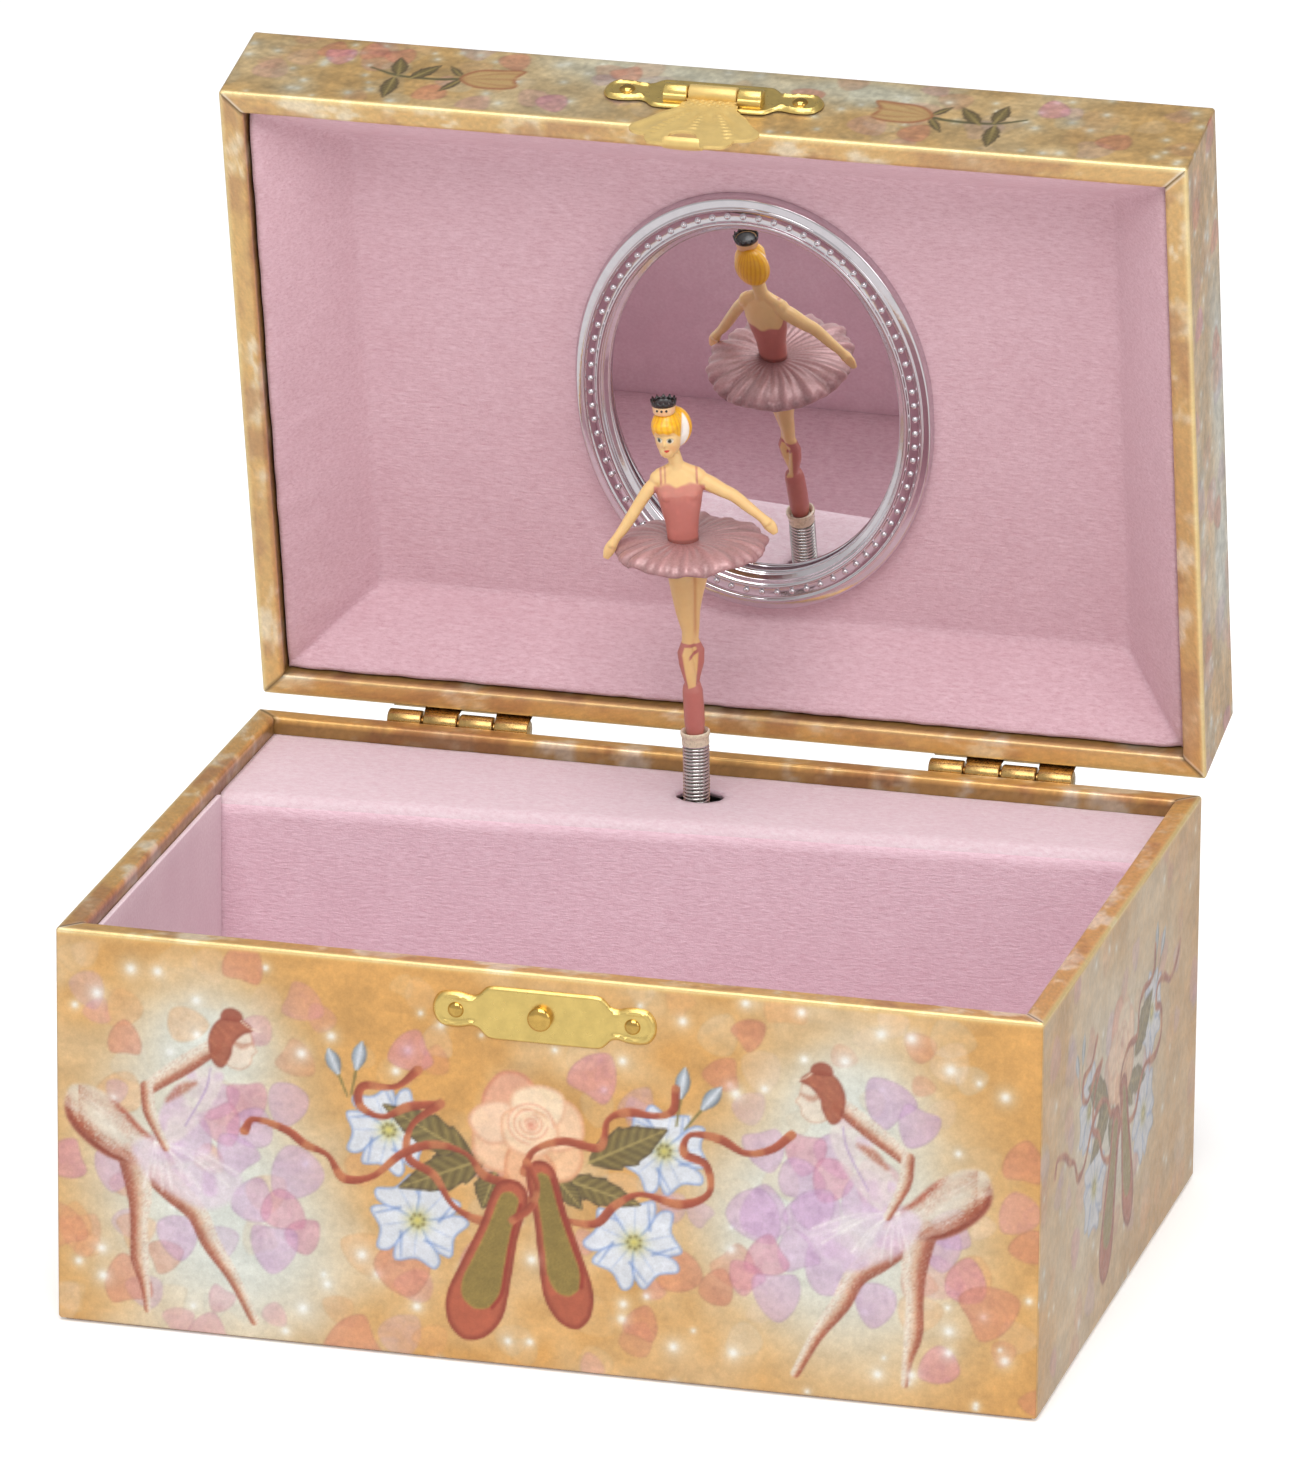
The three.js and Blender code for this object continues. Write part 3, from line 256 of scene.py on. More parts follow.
def plastic_look(name, tint=None, rough=(0.3, 0.42), coat=0.3, bump=0.12, **sockets):
    """Moulded plastic, painted on the mesh unless one tint is given."""
    look = Look(name, Coat_Weight=coat, Coat_Roughness=0.2, Specular_IOR_Level=0.5, **sockets)
    mottled = look.noise(900, 4, 0.6)
    colour = look.attribute("print") if tint is None else linear(*tint)
    look.set("Base Color", look.mix(look.span(mottled, 0, 0.3), colour,
                                    look.mix(1.0, colour, (0.86, 0.8, 0.78), "MULTIPLY")))
    look.set("Roughness", look.span(look.noise(1600, 3), *rough))
    look.bump((mottled, bump, 0.00012))
    return look.material


# ---- Meshes --------------------------------------------------------------------------------------
def piece(name, verts, faces, body, slot, look, at=BASE, replaces=(), colour=None, flat=False, sharp=None):
    """A mesh of the object, given in millimetres and put in place by the matrix at."""
    mesh = bpy.data.meshes.new(name)
    co = np.asarray(verts, float).reshape(-1, 3)
    turn = np.array(at.to_3x3())
    co = (co @ turn.T + np.array(at.translation)) * MM
    mesh.from_pydata(co.tolist(), [], [list(map(int, f)) for f in faces])
    mesh.validate()
    if colour is not None:
        layer = mesh.color_attributes.new("print", "FLOAT_COLOR", "POINT")
        rgba = np.ones((len(co), 4), np.float32)
        rgba[:, :3] = np.broadcast_to(colour, (len(co), 3))
        layer.data.foreach_set("color", rgba.ravel())
    mesh.shade_flat() if flat else mesh.shade_smooth()
    if sharp is not None:
        mesh.set_sharp_from_angle(angle=math.radians(sharp))
    made = bpy.data.objects.new(name, mesh)
    bpy.context.scene.collection.objects.link(made)
    mesh.materials.append(look)
    if body:
        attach(made, body)
    if replaces:
        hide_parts(*replaces)
    return made


def grid_faces(rows, columns, wrap_rows=False, wrap_columns=False, start=0, flip=False):
    """Quads of a grid of points listed row by row."""
    i = np.arange(rows if wrap_rows else rows - 1)
    j = np.arange(columns if wrap_columns else columns - 1)
    i, j = np.meshgrid(i, j, indexing="ij")
    i, j = i.ravel(), j.ravel()
    a = i * columns + j
    b = i * columns + (j + 1) % columns
    c = (i + 1) % rows * columns + (j + 1) % columns
    d = (i + 1) % rows * columns + j
    quads = np.stack([a, b, c, d], 1) + start
    return (quads[:, ::-1] if flip else quads).tolist()


def ring_faces(rings, steps):
    """Faces of a row of rings of points, closed at both ends."""
    last = (rings - 1) * steps
    return grid_faces(rings, steps, wrap_columns=True) + [
        list(range(steps))[::-1], list(range(last, last + steps))]


class Mesh:
    """Collects verts, faces and colours of several bodies that make one piece."""

    def __init__(self):
        self.verts, self.faces, self.colours, self.count = [], [], [], 0

    def add(self, verts, faces, colour=(0.5, 0.5, 0.5)):
        verts = np.asarray(verts, float).reshape(-1, 3)
        self.faces += [[int(k) + self.count for k in f] for f in faces]
        self.verts.append(verts)
        self.colours.append(np.broadcast_to(np.asarray(colour, float), (len(verts), 3)))
        self.count += len(verts)
        return self

    def all(self):
        return np.concatenate(self.verts), self.faces, np.concatenate(self.colours)

    def make(self, name, body, slot, look, **more):
        verts, faces, colours = self.all()
        return piece(name, verts, faces, body, slot, look, colour=colours, **more)


def round_steps(steps):
    """Evenly spaced angles once round."""
    return np.linspace(0, TAU, steps, endpoint=False)


def ring(angle, radius, z, squash=1.0):
    """Points round the z axis, at a height or at one height each."""
    return np.stack([radius * np.cos(angle), radius * squash * np.sin(angle),
                     np.broadcast_to(z, angle.shape)], 1)


def revolve(profile, steps=32):
    """A turned body from (radius, z) pairs; its ends are closed flat."""
    angle = round_steps(steps)
    return np.concatenate([ring(angle, r, z) for r, z in profile]), ring_faces(len(profile), steps)


def tube(path, radii, sides=12, flatten=None):
    """A bar along a path. radii are one for all, one per point, or pairs for an oval section."""
    path = np.asarray(path, float)
    radii = np.asarray(radii, float)
    if radii.ndim == 0:
        radii = np.full(len(path), float(radii))
    if radii.ndim == 1:
        radii = np.stack([radii, radii], 1)
    ahead = np.gradient(path, axis=0)
    ahead /= np.linalg.norm(ahead, axis=1)[:, None]
    side = np.cross(ahead[0], (0.0, 0.0, 1.0) if abs(ahead[0][2]) < 0.9 else (0.0, 1.0, 0.0))
    if flatten is not None:
        side = np.asarray(flatten, float)
    rings, angle = [], round_steps(sides)
    for point, way, (a, b) in zip(path, ahead, radii):
        side = side - way * (side @ way)
        side /= np.linalg.norm(side)
        up = np.cross(way, side)
        rings.append(point + np.outer(np.cos(angle) * a, side) + np.outer(np.sin(angle) * b, up))
    return np.concatenate(rings), ring_faces(len(path), sides)


def ball(at, radii, rows, columns):
    """A closed ellipsoid."""
    polar = np.linspace(0, math.pi, rows + 1)[1:-1]
    rings = [(math.sin(p), -math.cos(p)) for p in polar]
    verts, faces = revolve([(1e-3, -1)] + rings + [(1e-3, 1)], columns)
    return verts * radii + np.asarray(at, float), faces


def remeshed(verts, faces, voxel):
    """The bodies joined into one skin by a voxel remesh, as an array in millimetres and its faces."""
    mesh = bpy.data.meshes.new("joining")
    mesh.from_pydata(np.asarray(verts).tolist(), [], faces)
    made = bpy.data.objects.new("joining", mesh)
    bpy.context.scene.collection.objects.link(made)
    modifier = made.modifiers.new("remesh", "REMESH")
    modifier.mode, modifier.voxel_size, modifier.use_smooth_shade = "VOXEL", voxel, True
    relax = made.modifiers.new("relax", "SMOOTH")
    relax.iterations, relax.factor = 3, 0.5
    result = made.evaluated_get(bpy.context.evaluated_depsgraph_get()).to_mesh()
    co = np.zeros(len(result.vertices) * 3)
    result.vertices.foreach_get("co", co)
    quads = [list(p.vertices) for p in result.polygons]
    bpy.data.objects.remove(made)
    bpy.data.meshes.remove(mesh)
    return co.reshape(-1, 3), quads


# ---- Painting the printed paper ------------------------------------------------------------------
GOLD, CREAM, PALE, BLUSH = (210, 158, 90), (224, 200, 164), (220, 218, 208), (240, 214, 196)
LILAC, PINK, SALMON = (204, 164, 204), (214, 140, 164), (212, 134, 110)
OLIVE, UMBER = (126, 116, 66), (84, 70, 52)


class Canvas:
    """A picture in millimetres: x to the right and z up, in sRGB values."""

    def __init__(self, x, z, step, seed):
        self.x = np.arange(x[0], x[1] + step, step)
        self.z = np.arange(z[0], z[1] + step, step)
        self.step, self.seed = step, seed
        self.gx, self.gz = np.meshgrid(self.x, self.z)
        self.rgb = np.zeros(self.gx.shape + (3,))
        self.random = np.random.default_rng(seed)

    def window(self, low, high):
        """Slices of the rows and columns between two corners."""
        spans = []
        for axis, start, stop in ((self.z, low[1], high[1]), (self.x, low[0], high[0])):
            ends = (start - axis[0]) / self.step, (stop - axis[0]) / self.step + 2
            spans.append(slice(*(int(k) for k in np.clip(ends, 0, len(axis)))))
        return tuple(spans)

    def lay(self, window, mask, colour):
        """A coat of colour, as thick as the mask says."""
        colour = np.asarray(colour, float)
        self.rgb[window] += (colour - self.rgb[window]) * mask[..., None]

    def dab(self, x, z, radius, colour, alpha, squash=1.0, power=1.0):
        """A soft round glow."""
        reach = radius * 2.4
        w = self.window((x - reach, z - reach * squash), (x + reach, z + reach * squash))
        d = ((self.gx[w] - x) ** 2 + ((self.gz[w] - z) / squash) ** 2) / radius ** 2
        self.lay(w, alpha * np.exp(-d ** power), colour)

    def stroke(self, points, radii, shades, alpha=1.0, soft=0.16, count=24, grain=0.0):
        """A tapered stroke, in one colour or in shades that run across it from left to right."""
        line = through(np.column_stack([points, np.broadcast_to(radii, len(points))]), count)
        reach = line[:, 2].max() + soft * 2
        w = self.window(line[:, :2].min(0) - reach, line[:, :2].max(0) + reach)
        gx, gz = self.gx[w], self.gz[w]
        if gx.size == 0:
            return
        best = np.full(gx.shape, 1e9)
        side, along = np.zeros(gx.shape), np.zeros(gx.shape)
        for k, (a, b) in enumerate(zip(line[:-1], line[1:])):
            dx, dz = b[0] - a[0], b[1] - a[1]
            length = math.hypot(dx, dz) + 1e-9
            t = np.clip(((gx - a[0]) * dx + (gz - a[1]) * dz) / length ** 2, 0, 1)
            px, pz = gx - a[0] - dx * t, gz - a[1] - dz * t
            r = a[2] + (b[2] - a[2]) * t
            d = np.hypot(px, pz) - r
            near = d < best
            best = np.where(near, d, best)
            side = np.where(near, (dz * px - dx * pz) / length / np.maximum(r, 1e-3), side)
            along = np.where(near, (k + t) / (count - 1), along)
        mask = alpha * smooth(soft, -soft, best)
        if grain:
            mask = mask * np.clip(1 - grain + grain * 2 * self.random.random(gx.shape), 0, 1)
        shades = np.atleast_2d(np.asarray(shades, float))
        if len(shades) == 1:
            colour = shades[0]
        else:
            spot = np.clip(side * 0.5 + 0.5, 0, 1) * (len(shades) - 1)
            k = np.minimum(spot.astype(int), len(shades) - 2)
            f = (spot - k)[..., None]
            colour = shades[k] * (1 - f) + shades[k + 1] * f
        self.lay(w, mask, colour)
        return w, mask, along

    def shape(self, outline, colour, alpha=1.0, soft=0.16, count=48, edge=None, edge_width=0.5):
        """A filled smooth outline, with another colour running round its edge if one is given."""
        line = through(outline, count, closed=True)
        w = self.window(line.min(0) - soft * 2, line.max(0) + soft * 2)
        depth = nearest_on(line, self.gx[w], self.gz[w])[0]
        mask = smooth(-soft, soft, depth)
        if edge is None:
            self.lay(w, alpha * mask, colour)
        else:
            rim = smooth(edge_width, 0, depth)[..., None]
            self.lay(w, alpha * mask, np.asarray(colour, float) * (1 - rim) + np.asarray(edge, float) * rim)
        return w, mask, depth

    def sample(self, x, z):
        """The picture's linear colours at points."""
        u = np.clip((np.asarray(x, float) - self.x[0]) / self.step, 0, len(self.x) - 1.001)
        v = np.clip((np.asarray(z, float) - self.z[0]) / self.step, 0, len(self.z) - 1.001)
        i, j = u.astype(int), v.astype(int)
        a, b = (u - i)[..., None], (v - j)[..., None]
        rgb = ((self.rgb[j, i] * (1 - a) + self.rgb[j, i + 1] * a) * (1 - b)
               + (self.rgb[j + 1, i] * (1 - a) + self.rgb[j + 1, i + 1] * a) * b)
        return linear(np.clip(rgb, 0, 255))


def paint_ground(c, glow=(), petals=150, sparkles=60):
    """Mottled gold, pale glows, translucent petals and white sparkles."""
    cloud = clouds(c.gx, c.gz, c.seed, 26)[..., None]
    fine = clouds(c.gx, c.gz, c.seed + 9, 5, 3)[..., None]
    gold, cream = np.array(GOLD), np.array(CREAM)
    c.rgb[:] = gold * (1 + 0.07 * fine) + (cream - gold) * np.clip(cloud * 1.5 + 0.1, 0, 0.72)
    for x, z, radius, squash in glow:
        c.dab(x, z, radius, (216, 221, 214), 0.9, squash, 1.4)
    r = c.random
    low, high = (c.x[0], c.z[0]), (c.x[-1], c.z[-1])
    palette = [CREAM, CREAM, BLUSH, PALE, PINK, SALMON, LILAC, (232, 168, 110)]
    for _ in range(petals):
        kind = r.integers(len(palette))
        paint_petal(c, r.uniform(low[0], high[0]), r.uniform(low[1], high[1]), r.uniform(3.0, 6.5),
                    r.uniform(0, TAU), palette[kind], r.uniform(0.12, 0.28) + (0.12 if kind > 3 else 0))
    for _ in range(sparkles):
        paint_sparkle(c, r.uniform(low[0], high[0]), r.uniform(low[1], high[1]), r.uniform(0.5, 1.25))


def paint_petal(c, x, z, size, angle, colour, alpha):
    """A mottled petal with a blunt or notched end, a little darker along its outline."""
    way = np.array([math.cos(angle), math.sin(angle)])
    across = np.array([-way[1], way[0]])
    centre = np.array([x, z])
    outline = [(-0.58, 0), (-0.3, 0.34), (0.12, 0.52), (0.5, 0.46), (0.5, 0), (0.52, -0.44), (0.14, -0.54),
               (-0.3, -0.36)]
    if c.random.random() < 0.6:
        outline[4] = (0.66, 0.02)
    points = [centre + size * (way * a + across * b) for a, b in outline]
    w, mask, _ = c.shape(points, colour, alpha, 0.2, 30, np.asarray(colour) * 0.84, 0.4)
    fine, broad = noise(c.gx[w], c.gz[w], 3, 0.8), noise(c.gx[w], c.gz[w], 4, 2.2)
    mottled = smooth(0.1, 0.9, fine) + smooth(0.0, 0.8, broad)
    c.lay(w, mask * alpha * 0.3 * mottled, np.asarray(colour) * 0.8)


def paint_sparkle(c, x, z, size):
    """A small white glow with a brighter middle."""
    c.dab(x, z, size * 1.2, (232, 234, 228), 0.42)
    c.dab(x, z, size * 0.5, (248, 250, 248), 0.8)


def paint_dancer(c, at, scale=1.0, flip=False):
    """A dancer bending over a wide tutu, sketched in brown shadows, about her hip and facing +x."""
    light, brown, dark = (228, 218, 202), (168, 92, 66), (140, 68, 52)

    def put(points):
        return np.asarray(points, float) * scale * (-1 if flip else 1, 1) + at

    def limb(points, radii, alpha=0.92, order=(light, light, (214, 176, 148), brown, dark)):
        shades = order[::-1] if flip else order
        result = c.stroke(put(points), np.asarray(radii) * scale, shades, alpha, 0.2 * scale, 22, 0.14)
        if result:
            window, mask = result[:2]
            specks = smooth(0.55, 0.95, c.random.random(mask.shape))
            c.lay(window, mask * specks * 0.3, brown)
            c.lay(window, mask * smooth(0.6, 0.95, c.random.random(mask.shape)) * 0.3, (236, 228, 214))

    def stipple(window, mask, amount, colour):
        specks = smooth(0.25, 0.75, c.random.random(mask.shape) * 0.75 + 0.5 * amount)
        c.lay(window, mask * np.clip(amount * (0.35 + specks), 0, 1), colour)

    for x, z, size, angle, colour in (
            (13, 11, 6, 1.2, LILAC), (18, 11, 6, 1.7, PINK), (24, 11, 6, 1.3, LILAC),
            (18, 7, 6, 0.2, LILAC), (14, 7, 6, 2.0, PINK), (16, 3, 6, 5.4, LILAC),
            (25, 0, 7.5, 0.9, LILAC), (19, -4, 6, 4.4, LILAC), (24, -6, 6, 2.6, PINK),
            (27, -9, 5, 4.0, PINK), (22, -12, 7, 1.5, LILAC), (7, -12, 6, 1.7, LILAC),
            (-3, -2, 6, 1.5, LILAC), (9, 5, 7, 2.4, LILAC)):
        px, pz = put([(x, z)])[0]
        paint_petal(c, px, pz, size * scale, math.pi - angle if flip else angle, colour, 0.5)
    limb([(2.6, -0.6), (6.5, -4.2), (10, -7.4), (12.2, -12), (15.8, -17.4), (19, -23.8)],
         [2.3, 2.1, 1.7, 1.5, 1.0, 0.7])
    limb([(-0.2, 0.6), (1.0, -5), (0.9, -10), (1.0, -15.5), (1.8, -19.8), (2.2, -23.8)],
         [2.2, 2.0, 1.35, 1.45, 0.8, 0.5])
    # back of the tutu: a pale tilted disc stippled brown along its low edge
    w, mask, depth = c.shape(put([(-10.6, 8.6), (-9.4, 11.2), (-5.6, 11.0), (-1.6, 8.4), (1.6, 5.2),
                                  (4.6, 3.0), (5.6, 0.4), (1.6, -0.6), (-3, 0.0), (-7, 2.2),
                                  (-10.0, 5.4)]), (222, 214, 202), 0.72, 0.45)
    gx, gz = c.gx[w], c.gz[w]
    px, pz = (gx - at[0]) / scale * (-1 if flip else 1), (gz - at[1]) / scale
    left = smooth(3.0, -3.0, px)
    depth, above = depth / scale, pz - (4.6 - 0.62 * px)
    low_edge = smooth(3.9, 0.2, depth) * smooth(3.0, -2.6, above + 3.0 * (px < -8.4)) * left
    stipple(w, mask, low_edge, brown)
    stipple(w, mask, low_edge * smooth(1.6, 0.2, depth) * 0.8, dark)
    upper = smooth(1.7, 0.1, depth) * smooth(-5, -1.5, px) * smooth(-1.5, 1.5, above)
    stipple(w, mask, upper * 0.85, (178, 100, 78))
    streak = smooth(0.2, 0.8, noise(px * 0.9 + pz * 1.4, pz * 0.25 - px * 0.12, 19, 0.8))
    c.lay(w, mask * streak * 0.3, (242, 238, 230))
    # its front: feathered net over the thigh
    w, mask, depth = c.shape(put([(0, 2.4), (4, 4.6), (9, 4.4), (13, 2), (17, -1), (16, -4.4), (11.6, -6.6),
                                  (6.4, -5), (2, -2)]),
                             (222, 206, 218), 0.7, 0.7)
    c.lay(w, mask * smooth(0.0, 0.9, noise(c.gx[w], c.gz[w], 8, 2.6)) * 0.45, LILAC)
    for k in range(11):
        end = (1.6 + 1.5 * k, -4.2 + 0.35 * k + 1.6 * math.sin(1.9 * k))
        c.stroke(put([(3.4, 3.4), (0.5 * (3.4 + end[0]) + 0.4, 0.5 * end[1] + 2.6), end]),
                 [0.08, 0.14, 0.2], ((244, 240, 236),), 0.45, 0.2, 6)
    # bodice, shoulder, arms
    w, mask, depth = c.shape(put([(3.8, 3.4), (4.4, 8.6), (8.4, 14.5), (12.6, 16.6), (14.2, 14.8),
                                  (12.8, 10.8), (9.4, 6), (6.4, 3.4)]),
                             (226, 216, 210), 0.75, 0.4)
    c.lay(w, mask * smooth(0.1, 0.9, noise(c.gx[w], c.gz[w], 9, 2.2)) * 0.4, LILAC)
    c.stroke(put([(12.2, 16), (11.4, 12.4), (8.2, 6.4)]), [0.12, 0.16, 0.12], ((170, 140, 190),), 0.6, 0.15,
             10)
    limb([(12.6, 19.4), (8.2, 16.2), (4.6, 13.6), (2.2, 11.6)], [1.3, 1.5, 1.3, 1.0],
         order=(light, light, (220, 190, 166), brown, dark)[::-1])
    limb([(2.2, 12), (2.6, 8.4), (3.6, 5.8), (5.2, 2.6)], [1.0, 1.05, 0.8, 0.6])
    c.stroke(put([(9.8, 13.4), (7.6, 12.2), (5.4, 10.2)]), [0.3, 0.75, 0.3], (brown,), 0.7, 0.5, 10, 0.5)
    # head: hair swept into a knot, the face in profile and paler than its shadow side
    c.shape(put([(14.6, 17), (13.8, 19.6), (15.4, 22.4), (18.2, 22.6), (18.9, 20.4), (19.5, 19.4),
                 (18.8, 18.6), (18.4, 17.2), (16.8, 16.2)]),
            (228, 214, 196), 0.92, 0.25, edge=(206, 164, 138), edge_width=0.35)
    w, mask, depth = c.shape(put([(12.2, 18), (11.9, 21), (13.4, 23.8), (16.2, 24.6), (18.9, 22.8),
                                  (17.2, 21.8), (15.8, 20.2), (15.4, 18.4), (14.2, 16.4),
                                  (13, 16.6)]), (166, 92, 68), 0.93, 0.25, edge=dark,
                             edge_width=0.7)
    c.lay(w, mask * smooth(0.1, 0.9, noise(c.gx[w] + c.gz[w], c.gz[w], 12, 0.7)) * 0.5, (196, 126, 92))
    c.shape(put([(14, 24), (14.2, 25.4), (15.6, 25.9), (17, 25.2), (17, 23.9)]), (158, 84, 64), 0.93, 0.25,
            edge=dark, edge_width=0.5)
    c.stroke(put([(16, 20.4), (17.2, 20), (18.6, 20.6)]), [0.35, 0.5, 0.2], (brown,), 0.45, 0.3, 8, 0.4)
    c.stroke(put([(17, 24), (18.4, 23), (20, 22.6)]), [0.14, 0.12, 0.08], ((240, 226, 204),), 0.8, 0.15, 8)


def paint_blossom(c, at, size, seed):
    """Five pale petals with blue folds round a yellow middle."""
    turn = seed * 0.7
    for k in range(5):
        a = turn + TAU * k / 5
        way, across = np.array([math.cos(a), math.sin(a)]), np.array([-math.sin(a), math.cos(a)])
        points = [np.asarray(at) + size * (way * u + across * v) for u, v in
                  ((0.04, 0.04), (0.4, 0.36), (0.84, 0.62), (1.1, 0.5), (0.94, 0.06), (1.06, -0.42),
                   (0.72, -0.48), (0.36, -0.32))]
        c.shape(points, (216, 222, 232), 0.95, 0.16, 40, (140, 162, 206), 0.6)
        c.stroke([np.asarray(at) + way * size * 0.2, np.asarray(at) + way * size * 0.85], [0.2, 0.06],
                 ((150, 168, 206),), 0.5, 0.2, 6)
        c.stroke([np.asarray(at) + size * (way * 0.35 - across * 0.36),
                  np.asarray(at) + size * (way * 0.95 - across * 0.3)],
                 [0.25, 0.1], ((112, 138, 192),), 0.6, 0.25, 6)
    c.dab(*at, size * 0.26, (206, 196, 110), 0.95)
    for k in range(7):
        a = TAU * k / 7 + seed
        c.dab(at[0] + math.cos(a) * size * 0.15, at[1] + math.sin(a) * size * 0.15, 0.28, (104, 92, 48),
              0.8)


def axes(start, end):
    """The unit way from one point to another, the way across it, and the distance between them."""
    way = np.subtract(end, start)
    length = np.linalg.norm(way)
    return way / length, np.array([-way[1], way[0]]) / length, length


def paint_leaf(c, base, tip, width):
    """A toothed leaf with a pale midrib and side veins."""
    way, across, length = axes(base, tip)
    profile = [(0, 0), (0.12, 0.5), (0.3, 0.92), (0.34, 0.8), (0.5, 1.0), (0.54, 0.86), (0.7, 0.72),
               (0.74, 0.6), (0.88, 0.3), (1, 0)]
    points = [base + way * length * u + across * width * v for u, v in profile]
    points += [base + way * length * u - across * width * v for u, v in profile[-2:0:-1]]
    w, mask, _ = c.shape(points, (122, 106, 62), 0.96, 0.14, 80, UMBER, 0.55)
    gx, gz = c.gx[w], c.gz[w]
    s = (gx - base[0]) * across[0] + (gz - base[1]) * across[1]
    t = (gx - base[0]) * way[0] + (gz - base[1]) * way[1]
    vein = np.abs(((t - np.abs(s) * 0.9) / (length * 0.13)) % 1 - 0.5) * 2
    c.lay(w, mask * smooth(0.45, 0.0, vein) * 0.5, (92, 76, 50))
    c.lay(w, mask * smooth(0.6, 1.0, vein) * 0.4, (164, 146, 88))
    c.stroke([base, tip - way * 0.4], [0.24, 0.08], ((176, 156, 96),), 0.85, 0.14, 8)


def paint_ribbon(c, points, width=0.74):
    """A flat curling ribbon that narrows and shows its darker back where it twists."""
    n = len(points)
    radii = [width * (0.42 + 0.58 * abs(math.cos(1.9 * k))) for k in range(n)]
    result = c.stroke(points, radii, ((184, 102, 76), (168, 82, 58), (160, 78, 56), (142, 64, 48)), 0.97,
                      0.12, n * 7)
    if result:
        w, mask, along = result
        turned = smooth(0.2, 0.9, np.cos(along * (n - 1) * 1.9 * 2 + 0.6))
        c.lay(w, mask * turned * 0.55, (212, 148, 98))


def paint_slipper(c, heel, toe, width):
    """A ballet slipper seen from above: rust satin round a khaki insole."""
    way, across, length = axes(heel, toe)

    def outline(profile, grow):
        right = [heel + way * length * u + across * (width * v + grow) for u, v in profile]
        left = [heel + way * length * u - across * (width * v + grow) for u, v in profile]
        return right + left[::-1]

    sole = [(-0.02, 0.25), (0.06, 0.6), (0.3, 0.66), (0.55, 0.86), (0.78, 1.0), (0.93, 0.72), (1.0, 0.22)]
    c.shape(outline(sole, 0), (178, 92, 66), 0.98, 0.14, 70, (142, 62, 46), 1.1)
    insole = [(0.05, 0.12), (0.1, 0.34), (0.3, 0.4), (0.52, 0.56), (0.66, 0.66), (0.76, 0.5), (0.8, 0.14)]
    w, mask, _ = c.shape(outline(insole, 0), (148, 126, 64), 0.98, 0.14, 70, (176, 142, 70), 0.45)
    c.lay(w, mask * c.random.random(mask.shape) * 0.35, (112, 96, 48))
    c.stroke(through(np.array(outline(insole, 0.28)[1:6]), 12), [0.3] * 12, ((146, 52, 40),), 0.8, 0.2)


def paint_rose(c, at, size):
    """A full rose: overlapping petals round a turned-in middle."""
    petals = ((0.55, -0.62, 0.62, (236, 190, 150)), (-0.62, -0.5, 0.62, (238, 196, 160)),
              (0, -0.85, 0.55, (232, 180, 140)), (-0.34, 0.55, 0.66, (228, 170, 142)),
              (0.62, 0.1, 0.6, (242, 204, 170)), (-0.7, 0.05, 0.55, (240, 206, 176)),
              (0.2, 0.45, 0.6, (246, 222, 190)), (0.0, -0.1, 0.62, (244, 212, 178)))
    a = round_steps(10)
    for k, (x, z, radius, tint) in enumerate(petals):
        lobes = np.column_stack([np.cos(a) * (1 + 0.08 * np.sin(3 * a + k)),
                                 np.sin(a) * (0.92 + 0.08 * np.cos(2 * a + k))])
        outline = at + size * ((x, z) + radius * lobes)
        c.shape(outline, tint, 0.92, 0.25, 50, np.asarray(tint) * (0.93, 0.82, 0.78), 0.9)
    for k, radius in enumerate((0.46, 0.33, 0.21, 0.11)):
        a = np.linspace(0, 4.6, 9) + k * 1.5
        curl = at + size * np.column_stack([0.05 + radius * np.cos(a), 0.08 + radius * 0.9 * np.sin(a)])
        c.stroke(curl, [0.3] * 9, ((250, 232, 204), (226, 160, 130)), 0.85, 0.25, 26)
    c.dab(at[0] + size * 0.05, at[1] + size * 0.06, size * 0.1, (212, 132, 110), 0.8)


